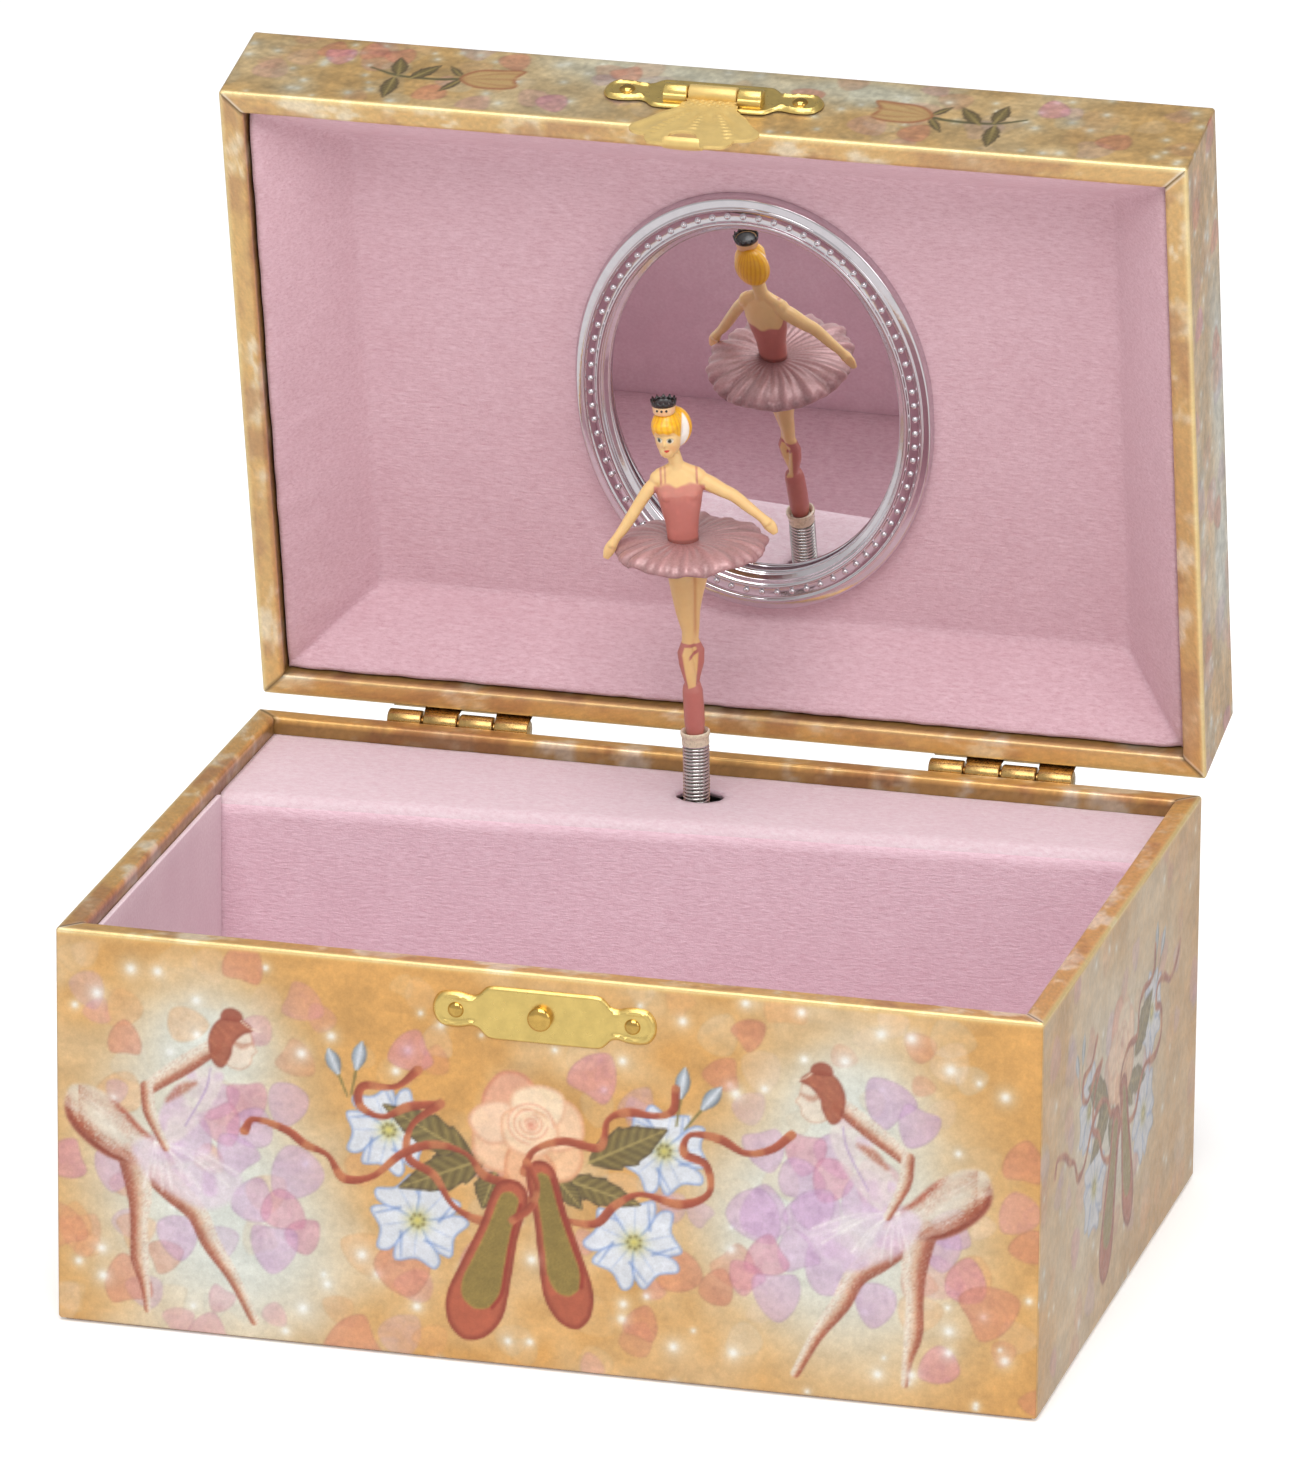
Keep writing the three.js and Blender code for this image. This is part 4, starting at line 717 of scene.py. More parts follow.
def paint_bouquet(c, at=(0, 0)):
    """Rose, leaves, blossoms, buds, curling ribbons and a pair of slippers, about the middle of a face."""
    def put(*points):
        return np.asarray(points, float) + at

    for x, z, size, seed in ((-24, 36, 6.2, 1), (18.5, 37, 6.2, 2), (-19.5, 22, 6.6, 3), (14, 22, 6.6, 4)):
        paint_blossom(c, put((x, z))[0], size, seed)
    for x, z, dx, dz in ((-29, 45.5, 0.8, 4), (-32, 44.5, -1.4, 3.4), (21, 46, 0.6, 4.4),
                         (24.5, 44.5, 2.6, 3.4)):
        foot, bud = put((x, z), (x + dx, z + dz))
        c.stroke([foot - (bud - foot) * 1.1, foot], [0.14, 0.22], (OLIVE,), 0.9, 0.14, 6)
        c.stroke([foot, (foot + bud) / 2, bud], [0.5, 1.15, 0.25],
                 ((118, 134, 150), (214, 222, 232), (96, 108, 122)), 0.95, 0.16, 12)
    for a, b, width in (
            ((-11, 33), (-25, 40), 3.0), ((-9, 33), (-22.5, 27), 3.0), ((-7.5, 31), (-9.5, 25), 2.5),
            ((7, 34), (19, 40.5), 3.3), ((3, 31), (15, 28), 2.4), ((2, 31), (6, 26.4), 1.8)):
        start, end = put(a, b)
        paint_leaf(c, start, end, width)
    paint_rose(c, put((-2.4, 38.6))[0], 7.3)
    for line in (
            ((-19.5, 46), (-23, 43), (-28, 42.6), (-28.5, 39.5), (-25, 38), (-21, 40), (-16, 41)),
            ((-16, 41), (-20.5, 37), (-21, 32), (-17, 29.5), (-14, 25), (-9.5, 23), (-5, 24)),
            ((-46.5, 33.6), (-45, 35.6), (-40, 34.4), (-37, 32.4), (-33.5, 31), (-31, 27.6), (-26.5, 28.4),
             (-22, 32.4), (-17, 34.4), (-12, 33.4), (-9, 30.2), (-4, 29.4)),
            ((-3, 31.5), (-1.6, 35), (3, 37), (8.6, 36.6), (9.8, 41), (13, 42.6), (17, 42.4), (19.8, 43.6),
             (20.2, 47)),
            ((-2, 27), (3, 24.6), (8, 24.4), (11, 27.6), (15, 29.8), (21, 28.8), (25.4, 31), (25, 35.4),
             (21.6, 37), (22.5, 40), (27, 39.8), (31, 38), (35, 39), (38, 41.6))):
        paint_ribbon(c, put(*line))
    paint_slipper(c, *put((-4.6, 29.2), (-12.2, 4.0)), 4.6)
    paint_slipper(c, *put((-0.8, 32.8), (5.2, 7.4)), 3.9)
    paint_ribbon(c, put((-2.6, 33), (-1, 29.5), (-2, 26), (-4.8, 23.6)), 0.7)


def paint_stem_rose(c, head, tail, flip):
    """A closed rose on a long stem with three leaves, its head at one end. flip is 1, or -1 to mirror it."""
    way, across, _ = axes(head, tail)

    def at(u, v):
        return head + way * u + across * v * flip

    c.stroke([at(7.5, 0), at(13, -0.5), at(19, 0.3), at(23.5, 2.6)], [0.45, 0.35, 0.3, 0.2],
             ((96, 92, 58),), 0.9, 0.14)
    for a, b, width in (
            ((17, -0.6), (12.8, 4.0), 1.3), ((19, 0.4), (19.5, 6.2), 1.4),
            ((19.4, -0.2), (20.2, -7.0), 1.4), ((9, 0.4), (11.4, 3.8), 0.7), ((9, -0.4), (12, -4.4), 0.8)):
        paint_leaf(c, at(*a), at(*b), width)
    c.shape([at(0.2, -2.4), at(3, -3.2), at(7, -2.6), at(9.4, 0), at(7, 2.7), at(3, 3.0), at(-0.6, 2.8),
             at(0.6, 0.3)],
            (206, 170, 112), 0.95, 0.2, edge=(170, 104, 70), edge_width=0.9)
    for v in (-1.4, 0.2, 1.7):
        c.stroke([at(0.4, v * 1.3), at(4, v * 1.1), at(8.4, v * 0.2)], [0.5, 0.35, 0.15],
                 ((170, 112, 74), (218, 184, 128)), 0.6, 0.25)


def mottle(c, amount):
    """Uneven ink: soft blotches, streaks along the sheet and a fine grain."""
    blotch = clouds(c.gx * 0.7, c.gz * 1.4, c.seed + 21, 3.2, 4) + 0.5 * noise(c.gx, c.gz, c.seed + 22, 0.6)
    c.rgb[:] = np.clip(c.rgb * (1 + amount * blotch[..., None]), 0, 255)


def tone(c, colour, amount):
    """Draws the whole picture towards one colour."""
    c.rgb += (np.asarray(colour, float) - c.rgb) * amount


FRONT_GLOWS = ((-55, 27, 19, 1.3), (-46, 17, 17, 1.0), (49, 27, 19, 1.3), (38, 28, 17, 0.9),
               (-52, 47, 12, 0.8), (46, 47, 12, 0.8))


def front_picture():
    """A dancer at each end, the bouquet between them, and petals and sparkles where they show most."""
    c = Canvas((-HALF_X, HALF_X), (0, BASE_TOP), 0.18, 11)
    paint_ground(c, FRONT_GLOWS)
    for x, z, size, angle, colour in (
            (-46.5, 60.5, 6, 4.5, SALMON), (-65.2, 46.6, 5, 4.7, SALMON), (-75, 26, 6, 0.3, PINK),
            (-65, 8, 7, 4.9, SALMON), (-21, 48.6, 6, 0.4, PINK), (8, 48, 7, 4.2, PINK),
            (31.6, 57, 4.6, 3.8, SALMON), (27, 50, 5, 0.1, SALMON), (73.5, 41, 6, 4.6, SALMON),
            (74, 27.5, 5, 0.2, SALMON), (65, 21.6, 6, 4.6, PINK), (69, 17, 8, 3.6, SALMON),
            (60.5, 7, 5.5, 0.6, PINK), (27, 16.6, 5, 4.4, SALMON), (20.6, 17.6, 6, 0.7, SALMON),
            (15.4, 9.4, 5, 4.4, SALMON), (-21, 15, 8, 4.0, SALMON), (-30, 1, 8, 0.4, SALMON),
            (34, 29.4, 7, 4.7, LILAC), (52.4, 48.6, 7, 5.4, LILAC), (57, 44.6, 6, 1.2, LILAC),
            (42, 29, 8, 4.0, LILAC), (44, 22, 8, 5.2, LILAC), (62, 29, 6, 0.2, LILAC)):
        paint_petal(c, x, z, size, angle, colour, 0.52)
    paint_dancer(c, (-64, 27))
    paint_dancer(c, (58, 27.6), flip=True)
    paint_bouquet(c)
    mottle(c, 0.06)
    for x, z, size in (
            (-69.5, 53.2, 1.6), (-64.2, 57.6, 1.5), (-60, 57.6, 1.3), (-54, 53.6, 1.2), (-73, 51, 0.9),
            (-69, 12.4, 1.3), (-72.6, 10, 1), (-68.8, 8, 1.4), (-37.6, 46.8, 1.4), (-33, 50, 1.2),
            (51.4, 58.8, 1.5), (56, 58.6, 1.6), (62, 54.2, 1.6), (70.4, 50.8, 1.4), (66.4, 52.6, 0.7),
            (46, 54, 1.4), (29.4, 47.2, 1.4), (33.8, 48.4, 0.9), (62.4, 13, 1.4), (62.4, 9.6, 1.2),
            (71, 9.2, 1.3), (56.8, 5.4, 1.3), (51.6, 5, 1.2), (29.4, 6, 1.4), (20.2, 6, 1.3),
            (12.4, 12, 1.1), (12.2, 9.6, 1.2), (16, 13.6, 0.8), (-19.6, 8.2, 1.2), (-37.4, 6, 1.5),
            (-28.2, 15.6, 1.4), (12, 50.6, 1.1), (-1.8, 17.6, 1.2), (-5.4, 4.2, 1.0), (-2, 4.4, 0.9)):
        paint_sparkle(c, x, z, size)
    return c


def side_picture(seed):
    """The narrower faces: the same ground with a bouquet in the middle."""
    c = Canvas((-HALF_Y, HALF_Y), (0, BASE_TOP), 0.25, seed)
    paint_ground(c, ((-2, 32, 30, 0.7),), 110, 40)
    paint_bouquet(c, (2, 2))
    # painted sheen: the picture is drawn a third of the way towards a greyish tan, for the grey film of
    # reflection these faces show at a grazing view
    tone(c, (194, 176, 158), 0.32)
    mottle(c, 0.08)
    return c


def lid_edge_picture(half, seed):
    """The lid's narrow sides: a greener ground, and on the long ones a rose on each side of the middle."""
    c = Canvas((-half, half), (LID_LOW, LID_TOP), 0.2, seed)
    paint_ground(c, ((-10, 80, 20, 0.3), (22, 79, 16, 0.3)), int(half * 1.1), int(half * 1.3))
    tone(c, (176, 168, 128) if half == HALF_X else (180, 170, 156), 0.34)
    for x, z, colour in (
            (-62, 79.4, SALMON), (-55.6, 80.2, SALMON), (-60.4, 77.6, PINK), (-51, 78.8, SALMON),
            (-33, 79.8, SALMON), (-44, 68.2, SALMON), (-15, 78.8, SALMON), (-24, 68, PINK),
            (14, 77, SALMON), (33, 68.4, SALMON), (52, 79, PINK), (63, 70, SALMON)):
        paint_petal(c, x, z, 4.6, x * 0.7, colour, 0.5)
    mottle(c, 0.16)
    if half == HALF_X:
        paint_stem_rose(c, (-31, 74.6), (-54, 72.4), -1)
        paint_stem_rose(c, (25, 74.4), (48, 72.2), 1)
    return c


def lid_top_picture():
    """The outside of the lid: dancers and the bouquet again, drawn as seen from the front with it closed."""
    c = Canvas((-HALF_X, HALF_X), (-HALF_Y, HALF_Y), 0.25, 47)
    paint_ground(c, ((-52, 2, 20, 1.5), (50, 2, 20, 1.5)), 230, 90)
    paint_dancer(c, (-62, -2), 1.25)
    paint_dancer(c, (60, -2), 1.25, flip=True)
    paint_bouquet(c, (1, -29))
    return c


# ---- Wrapped boards ------------------------------------------------------------------------------
PRINT_PAPER = paper_look("printed_foil_paper")
FOLD = 0.55                       # radius of the folded paper edges

SIDES = {
    "front": (HALF_X, lambda a, d: (a, d - HALF_Y)),
    "right": (HALF_Y, lambda a, d: (HALF_X - d, a)),
    "back": (HALF_X, lambda a, d: (-a, HALF_Y - d)),
    "left": (HALF_Y, lambda a, d: (d - HALF_X, -a)),
}


def along_wall(half, inset, columns):
    """Places along a wall and their insets at one depth, rounding into the mitre at each end."""
    turn = np.linspace(0, math.pi / 4, 5)[1:]
    if inset < FOLD:
        reach = half - FOLD
        end = reach + (FOLD - inset) * np.sin(turn)
        end_inset = FOLD - (FOLD - inset) * np.cos(turn)
    else:
        reach = half - inset - 0.08
        end = reach + 0.08 * turn / turn[-1]
        end_inset = np.full(4, inset)
    straight = np.linspace(-reach, reach, columns)
    return (np.concatenate([-end[::-1], straight, end]),
            np.concatenate([end_inset[::-1], np.full(columns, inset), end_inset]))


def arc(centre, radius, start, stop, steps=5):
    """Points (inset, z) on an arc, angles in degrees from the inset axis."""
    angle = np.radians(np.linspace(start, stop, steps))
    return [(centre[0] + radius * math.cos(a), centre[1] + radius * math.sin(a)) for a in angle]


def rim_colour(along, inset, z, seed):
    """The turned-over edge: gold with cream clouds and browner patches."""
    cloud = clouds(along, inset * 1.5 + z * 0.6, seed, 7, 4)[..., None]
    patch = clouds(along, inset * 1.2 + z, seed + 40, 9, 4)[..., None]
    specks = noise(along, inset * 2 + z, seed + 5, 0.6)[..., None]
    gold, cream, brown = np.array((216, 170, 98)), np.array((236, 218, 186)), np.array((182, 128, 76))
    colour = gold + (cream - gold) * smooth(0.0, 0.4, cloud)
    colour = colour + (brown - colour) * smooth(0.02, 0.4, patch) * 0.8
    return linear(np.clip(colour * (1 + 0.07 * specks), 0, 255))


def wrapped_wall(name, side, profile, step, picture, rim_z, body, at):
    """A wall of board in its wrap. profile is (inset, z, zone) round its section."""
    half, place = SIDES[side]
    columns = int(2 * half / step)
    verts, colours = [], []
    seed = 60 + len(name)
    for inset, z, zone in profile:
        a, d = along_wall(half, inset, columns)
        zs = np.full(len(a), z)
        if zone == "outer":
            colour = picture.sample(a, zs)
            # painted highlight: the outer face is lightened towards the fold at the rim
            edge = smooth(1.3, 0.5, abs(z - rim_z))
            colour = colour * (1 - 0.6 * edge) + linear(236, 196, 120) * 0.6 * edge
        else:
            colour = rim_colour(a, d, zs, seed) * (0.5 if zone == "inner" else 1.0)
            if body == "lid" and zone == "rim":
                colour = colour * 0.78 + linear(218, 206, 170) * 0.22
            # painted highlight: the rim is lightened towards its outer fold
            fold_highlight = smooth(0.75, 0.35, inset)
            colour = colour * (1 - 0.6 * fold_highlight) + linear(246, 222, 160) * 0.6 * fold_highlight
            if 0.3 < inset < WALL and zone == "rim":
                left = (half - inset - np.abs(a))[:, None]
                pale = 0.6 * smooth(0.8, 0.4, left) * smooth(0.1, 0.35, left)
                colour = colour + (linear(240, 232, 216) - colour) * pale
                colour = colour * (1 - 0.65 * smooth(0.22, 0.05, left))
        off_corner = smooth(0.2, 2, np.abs(half - inset - np.abs(a)))
        wave = 0.05 * clouds(a, zs * 0.5 + d, seed + 3, 16, 2) * off_corner
        x, y = place(a, d + (wave if zone == "outer" else 0))
        verts.append(np.stack([x, y, zs + (wave if zone == "rim" else 0)], 1))
        colours.append(colour)
    count = len(verts[0])
    faces = grid_faces(len(profile), count, wrap_rows=True)
    faces.append([k * count for k in range(len(profile))])
    faces.append([k * count + count - 1 for k in range(len(profile))][::-1])
    piece(name + "_wrap", np.concatenate(verts), faces, body, "printed_board", PRINT_PAPER, at, (name,),
          np.concatenate(colours))


def zoned(zone, points):
    """Points of a section marked as the outer face, the rim or the inner face."""
    return [(d, z, zone) for d, z in points]


def wrap_section(far, rim, step, turned_in):
    """The wrap's section from its far edge over the rim and a little way down the inner face."""
    up = 1 if rim > far else -1
    corner, inner = rim - up * FOLD, WALL - FOLD
    return (zoned("outer", [(0, z) for z in np.arange(far + up * FOLD, corner, up * step)])
            + zoned("rim", arc((FOLD, corner), FOLD, 180, 180 - 90 * up))
            + zoned("rim", [(d, rim) for d in np.linspace(FOLD + 0.4, inner - 0.4, 6)])
            + zoned("rim", arc((inner, corner), FOLD, 90 * up, 0))
            + zoned("inner", [(WALL, z) for z in np.linspace(rim - up * 1.2, rim - up * 3.2, turned_in)]))


def build_boards():
    """The walls of the base and the lid. The back has the front's picture; each has its own mesh step."""
    front = front_picture()
    pictures = {"front": (front, 0.28), "back": (front, 0.6), "right": (side_picture(23), 0.36),
                "left": (side_picture(29), 0.6)}
    for name, (picture, step) in pictures.items():
        under = zoned("inner", [(WALL, BASE_LOW), (FOLD + 0.6, BASE_LOW)])
        under += zoned("outer", arc((FOLD, BASE_LOW + FOLD), FOLD, 270, 190, 4))
        profile = under + wrap_section(BASE_LOW, BASE_TOP, step, 5)
        wrapped_wall(f"base_{name}_wall", name, profile, step, picture, BASE_TOP, "base", BASE)
    pictures = {"front": (lid_edge_picture(HALF_X, 31), 0.28), "back": (lid_edge_picture(HALF_X, 37), 0.7),
                "right": (lid_edge_picture(HALF_Y, 41), 0.45), "left": (lid_edge_picture(HALF_Y, 43), 0.7)}
    for name, (picture, step) in pictures.items():
        top = zoned("inner", [(WALL, LID_INSIDE), (FOLD, LID_INSIDE)])
        top += zoned("outer", arc((FOLD, LID_TOP - FOLD), FOLD, 90, 180))
        profile = (top + wrap_section(LID_TOP, LID_LOW, step, 4))[::-1]
        wrapped_wall(f"lid_{name}_wall", name, profile, step, picture, LID_LOW, "lid", LID)
    build_lid_top()


def build_lid_top():
    """The printed top of the lid, very slightly uneven."""
    picture = lid_top_picture()
    inset, step, underside = FOLD + 0.02, 0.5, 80.42
    x = np.linspace(-HALF_X + inset, HALF_X - inset, int(2 * HALF_X / step))
    y = np.linspace(-HALF_Y + inset, HALF_Y - inset, int(2 * HALF_Y / step))
    gx, gy = np.meshgrid(x, y)
    middle = smooth(0, 4, HALF_Y - np.abs(gy)) * smooth(0, 4, HALF_X - np.abs(gx))
    top = LID_TOP + 0.05 * clouds(gx, gy, 5, 30, 2) * middle
    shape = Mesh()
    add_sheet(shape, gx, gy, top, underside, picture.sample(gx, gy))
    shape.make("lid_top_wrap", "lid", "printed_board", PRINT_PAPER, at=LID, replaces=("lid_top_board",),
               sharp=40)


def add_sheet(shape, gx, gy, top, back, colour, facing=1):
    """A closed slab over a grid: its face at height top and its back at height back."""
    rows, columns = gx.shape
    colour = np.broadcast_to(colour, gx.shape + (3,)).reshape(-1, 3)
    back = np.broadcast_to(back, gx.shape)
    face = np.stack([gx, gy, top], -1).reshape(-1, 3)
    rear = np.stack([gx, gy, back], -1).reshape(-1, 3)
    faces = grid_faces(rows, columns, flip=facing < 0)
    faces += grid_faces(rows, columns, start=len(face), flip=facing > 0)
    border = (list(range(columns)) + [r * columns + columns - 1 for r in range(1, rows)]
            + [(rows - 1) * columns + k for k in range(columns - 2, -1, -1)]
              + [r * columns for r in range(rows - 2, 0, -1)])
    for a, b in zip(border, border[1:] + border[:1]):
        quad = [a, a + len(face), b + len(face), b]
        faces.append(quad if facing > 0 else quad[::-1])
    shape.add(np.concatenate([face, rear]), faces, np.concatenate([colour, colour]))


# ---- Linings -------------------------------------------------------------------------------------
FLANNEL = flannel_look("pink_flannel", (200, 156, 166), (226, 194, 202), (0.4, 1, 1.5))
# painted light: a lighter copy of the pink flannel for the cover's front, making up for the shade it stands
# in inside the compartment
COVER_FRONT_PAINTED_LIGHT_FLANNEL = flannel_look("pink_flannel_painted_light_copy", (220, 180, 192), (243, 214, 224), (0.4, 1, 1.5))
# painted sheen: a paler copy of the pink flannel for the faces of the cover that turn up
COVER_TOP_PAINTED_SHEEN_FLANNEL = flannel_look("pink_flannel_painted_sheen_copy", (212, 180, 189), (228, 210, 215), (0.5, 0.8, 1))


def build_lid_lining():
    """One padded lining over the inside of the lid, drawn closed, with mitred valleys in its corners."""
    edge_x, edge_y = 72.05, 49.8
    x = np.linspace(-edge_x, edge_x, 230)
    y = np.linspace(-edge_y, edge_y, 168)
    gx, gy = np.meshgrid(x, y)
    run_x = np.where(gx < 0, 12.0, 11.4)
    run_y = np.where(gy < 0, 10.4, 8.8)
    low, rise, under_frame, card = 64.9, 14.3, 79.15, 80.35
    u = (edge_x - np.abs(gx)) / run_x
    v = (edge_y - np.abs(gy)) / run_y
    soft = 0.09

    def least(a, b):
        h = np.clip(0.5 + 0.5 * (b - a) / soft, 0, 1)
        return b * (1 - h) + a * h - soft * h * (1 - h)

    slope = least(u, v)
    level = least(slope, np.full_like(slope, 1.0))
    crown = 0.5 * np.sin(np.pi * np.clip(slope, 0, 1)) - 0.35 * smooth(1.0, 2.6, slope)
    crease = np.exp(-((u - v) / 0.16) ** 2) * smooth(1.1, 0.2, slope) * 0.5
    ripples = 0.22 * noise(gx, gy, 77, 3.4) * smooth(1.2, 0.2, slope) + 0.05 * noise(gx, gy, 78, 1.1)
    roll = 0.9 * smooth(0.09, 0.0, slope)
    z = low + rise * level - crown + crease + ripples * (1 + crease) + roll
    ellipse = np.hypot((gx - MIRROR_AT.x) / MIRROR_FRAME[0], (gy - MIRROR_AT.y) / MIRROR_FRAME[1])
    z = np.where(ellipse < 1.15, z + (under_frame - z) * smooth(1.1, 1.0, ellipse), z)
    z = z + (LID_INSIDE - z) * smooth(0.95, 0.9, ellipse)
    shape = Mesh()
    add_sheet(shape, gx, gy, z, np.minimum(z + 1.2, card), (0.6, 0.3, 0.4), facing=-1)
    lining = shape.make("lid_flannel_lining", "lid", "flannel", FLANNEL, at=LID, replaces=(
        "lid_centre_pad", "lid_left_pad", "lid_right_pad", "lid_front_pad", "lid_back_pad"))


def taken(shape):
    """The points and faces of a bmesh, which is freed."""
    shape.verts.index_update()
    points = np.array([v.co for v in shape.verts])
    faces = [[v.index for v in f.verts] for f in shape.faces]
    shape.free()
    return points, faces


def cover_front(x):
    """Where the cover's front face stands: it runs a little askew across the box."""
    return COVER_FRONT + (x - SPINDLE.x) * COVER_SKEW


def build_cover():
    """The folded card over the movement, with its round hole and a soft nap on its edges."""
    back, bend, card = LINING_Y, 3.0, 1.0
    arm = bend - card
    x = np.linspace(-LINING_X, LINING_X, 208)
    front = [(0, z) for z in np.arange(FLOOR_TOP, COVER_TOP - bend, 0.8)]
    fold = [(bend - bend * math.cos(a), COVER_TOP - bend + bend * math.sin(a))
            for a in np.linspace(0, math.pi / 2, 9)]
    outer, inner = [], []
    for depth, z in front + fold:
        outer.append((x, cover_front(x) + depth, np.full_like(x, z)))
        if z < COVER_TOP - bend:
            inside = (card, z)
        else:
            a = math.atan2(z - COVER_TOP + bend, bend - depth)
            inside = (bend - arm * math.cos(a), COVER_TOP - bend + arm * math.sin(a))
        inner.append((x, cover_front(x) + inside[0], np.full_like(x, inside[1])))
    start = cover_front(x) + bend
    for t in np.linspace(0, 1, 46)[1:]:
        y = start + (back - start) * t
        outer.append((x, y, np.full_like(x, COVER_TOP)))
        inner.append((x, y, np.full_like(x, COVER_TOP - card)))
    face = np.array([np.stack(row, 1) for row in outer])
    rear = np.array([np.stack(row, 1) for row in inner])
    nap = 0.07 * clouds(face[..., 0], face[..., 1] + face[..., 2], 83, 9, 3)
    face[..., 1] += np.where(face[..., 2] < COVER_TOP - 1.5, nap, 0)
    face[..., 2] += np.where(face[..., 2] > COVER_TOP - 1.5, nap, 0)
    rows, columns = face.shape[:2]
    count = rows * columns
    shape = bmesh.new()
    verts = [shape.verts.new(p) for p in np.concatenate([face.reshape(-1, 3), rear.reshape(-1, 3)])]
    for quad in grid_faces(rows, columns) + grid_faces(rows, columns, start=count, flip=True):
        shape.faces.new([verts[k] for k in quad])
    hole, radius, squash = Vector((-0.5, 39.8)), 3.85, 0.84

    def from_hole(co):
        """How far a point is from the hole's middle, on a scale where its oval edge is round."""
        return Vector((co.x - hole.x, (co.y - hole.y) / squash))

    doomed = [v for v in verts if v.co.z > COVER_TOP - 3 and from_hole(v.co).length < radius]
    bmesh.ops.delete(shape, geom=doomed, context="VERTS")
    shape.verts.ensure_lookup_table()
    for v in shape.verts:
        if v.is_boundary and v.co.z > COVER_TOP - 3 and from_hole(v.co).length < radius + 1.6:
            angle = math.atan2(v.co.y - hole.y, v.co.x - hole.x)
            way = from_hole(v.co).normalized() * (radius + 0.07 * math.sin(11 * angle))
            v.co.xy = hole + Vector((way.x, way.y * squash))
    rim = [e for e in shape.edges if e.is_boundary and from_hole(e.verts[0].co).length < radius + 0.5]
    bmesh.ops.bridge_loops(shape, edges=rim)
    bmesh.ops.bridge_loops(shape, edges=[e for e in shape.edges if e.is_boundary])
    bmesh.ops.recalc_face_normals(shape, faces=shape.faces)
    made = piece("movement_cover_flannel", *taken(shape), "base", "pink_card", COVER_FRONT_PAINTED_LIGHT_FLANNEL,
                 replaces=("movement_cover",))
    # faces turned up take the paler copy of the flannel: a painted sheen on the cover's top
    made.data.materials.append(COVER_TOP_PAINTED_SHEEN_FLANNEL)
    for face in made.data.polygons:
        face.material_index = int(face.normal.z > 0.55)


def soft_slab(low, high, seed):
    """A thin card with softened edges and slightly uneven faces."""
    cuts, bevel, wave = 20, 0.2, 0.04
    low, high = np.asarray(low, float), np.asarray(high, float)
    shape = bmesh.new()
    bmesh.ops.create_cube(shape, size=1.0)
    for v in shape.verts:
        v.co = Vector((low + high) / 2) + Vector(np.array(v.co) * (high - low))
    bmesh.ops.bevel(shape, geom=list(shape.edges), offset=bevel, segments=2, affect="EDGES", profile=0.6)
    thin, *long = sorted(range(3), key=lambda axis: high[axis] - low[axis])
    for axis in long:
        least = (high - low)[axis] * 0.8
        chosen = [e for e in shape.edges if abs((e.verts[0].co - e.verts[1].co)[axis]) > least]
        bmesh.ops.subdivide_edges(shape, edges=chosen, cuts=cuts, use_grid_fill=True)
    co, faces = taken(shape)
    co[:, thin] += wave * clouds(co[:, long[0]], co[:, long[1]], seed, 14, 2)
    return co, faces


def build_base_lining():
    """The paper-covered cards round the compartment and the flannel pad on its floor."""
    look = Look("pale_pink_paper", Roughness=0.7, Specular_IOR_Level=0.3)
    fibres = look.noise(1900, 5, 0.7)
    patches = look.noise(90, 3)
    colour = look.mix(look.span(fibres, 0, 1), linear(222, 198, 205), linear(238, 222, 226))
    look.set("Base Color", look.mix(look.span(patches, 0, 0.4), colour, linear(212, 184, 194)))
    look.bump((fibres, 0.3, 0.00008))
    top, card, ends = 60.6, 0.8, -49.2
    pad_x, pad_y = 72.3, 50.0
    for name, low, high in (
            ("front", (-pad_x, -LINING_Y, PAD_LOW), (pad_x, -LINING_Y + card, top)),
            ("left", (-LINING_X, ends, PAD_LOW), (-LINING_X + card, cover_front(-72) - 0.3, top)),
            ("right", (LINING_X - card, ends, PAD_LOW), (LINING_X, cover_front(72) - 0.3, top))):
        piece(f"{name}_lining_paper", *soft_slab(low, high, len(name)), "base", "pink_card", look.material,
              replaces=(f"{name}_lining_card",))
    t = np.linspace(0, 1, 66)
    gx = np.tile(np.linspace(-pad_x, pad_x, 120), (len(t), 1))
    gy = -pad_y + (cover_front(gx) - 0.25 + pad_y) * t[:, None]
    border = np.minimum(np.minimum(pad_x - np.abs(gx), gy + pad_y), cover_front(gx) - 0.2 - gy)
    top = PAD_LOW + 0.6 * smooth(0, 2.5, border) + 0.06 * clouds(gx, gy, 91, 12, 2)
    shape = Mesh()
    add_sheet(shape, gx, gy, top, FLOOR_TOP, (0.6, 0.3, 0.4))
    pad = shape.make("compartment_flannel", "base", "flannel", FLANNEL, replaces=("compartment_floor_pad",))


# ---- Brass and steel fittings --------------------------------------------------------------------
BRASS = metal_look("bright_brass", (232, 202, 122), (0.26, 0.38), 0.84, metallic=0.9)
POLISHED_BRASS = metal_look("polished_brass", (226, 184, 100), (0.1, 0.18), 0.7)
SATIN_BRASS = metal_look("satin_brass", (228, 196, 124), (0.36, 0.5), 0.88, metallic=0.45)
DULL_BRASS = metal_look("hinge_brass", (206, 168, 106), (0.2, 0.36), 0.62)
STEEL = metal_look("plated_steel", (204, 202, 198), (0.12, 0.2), 0.95)


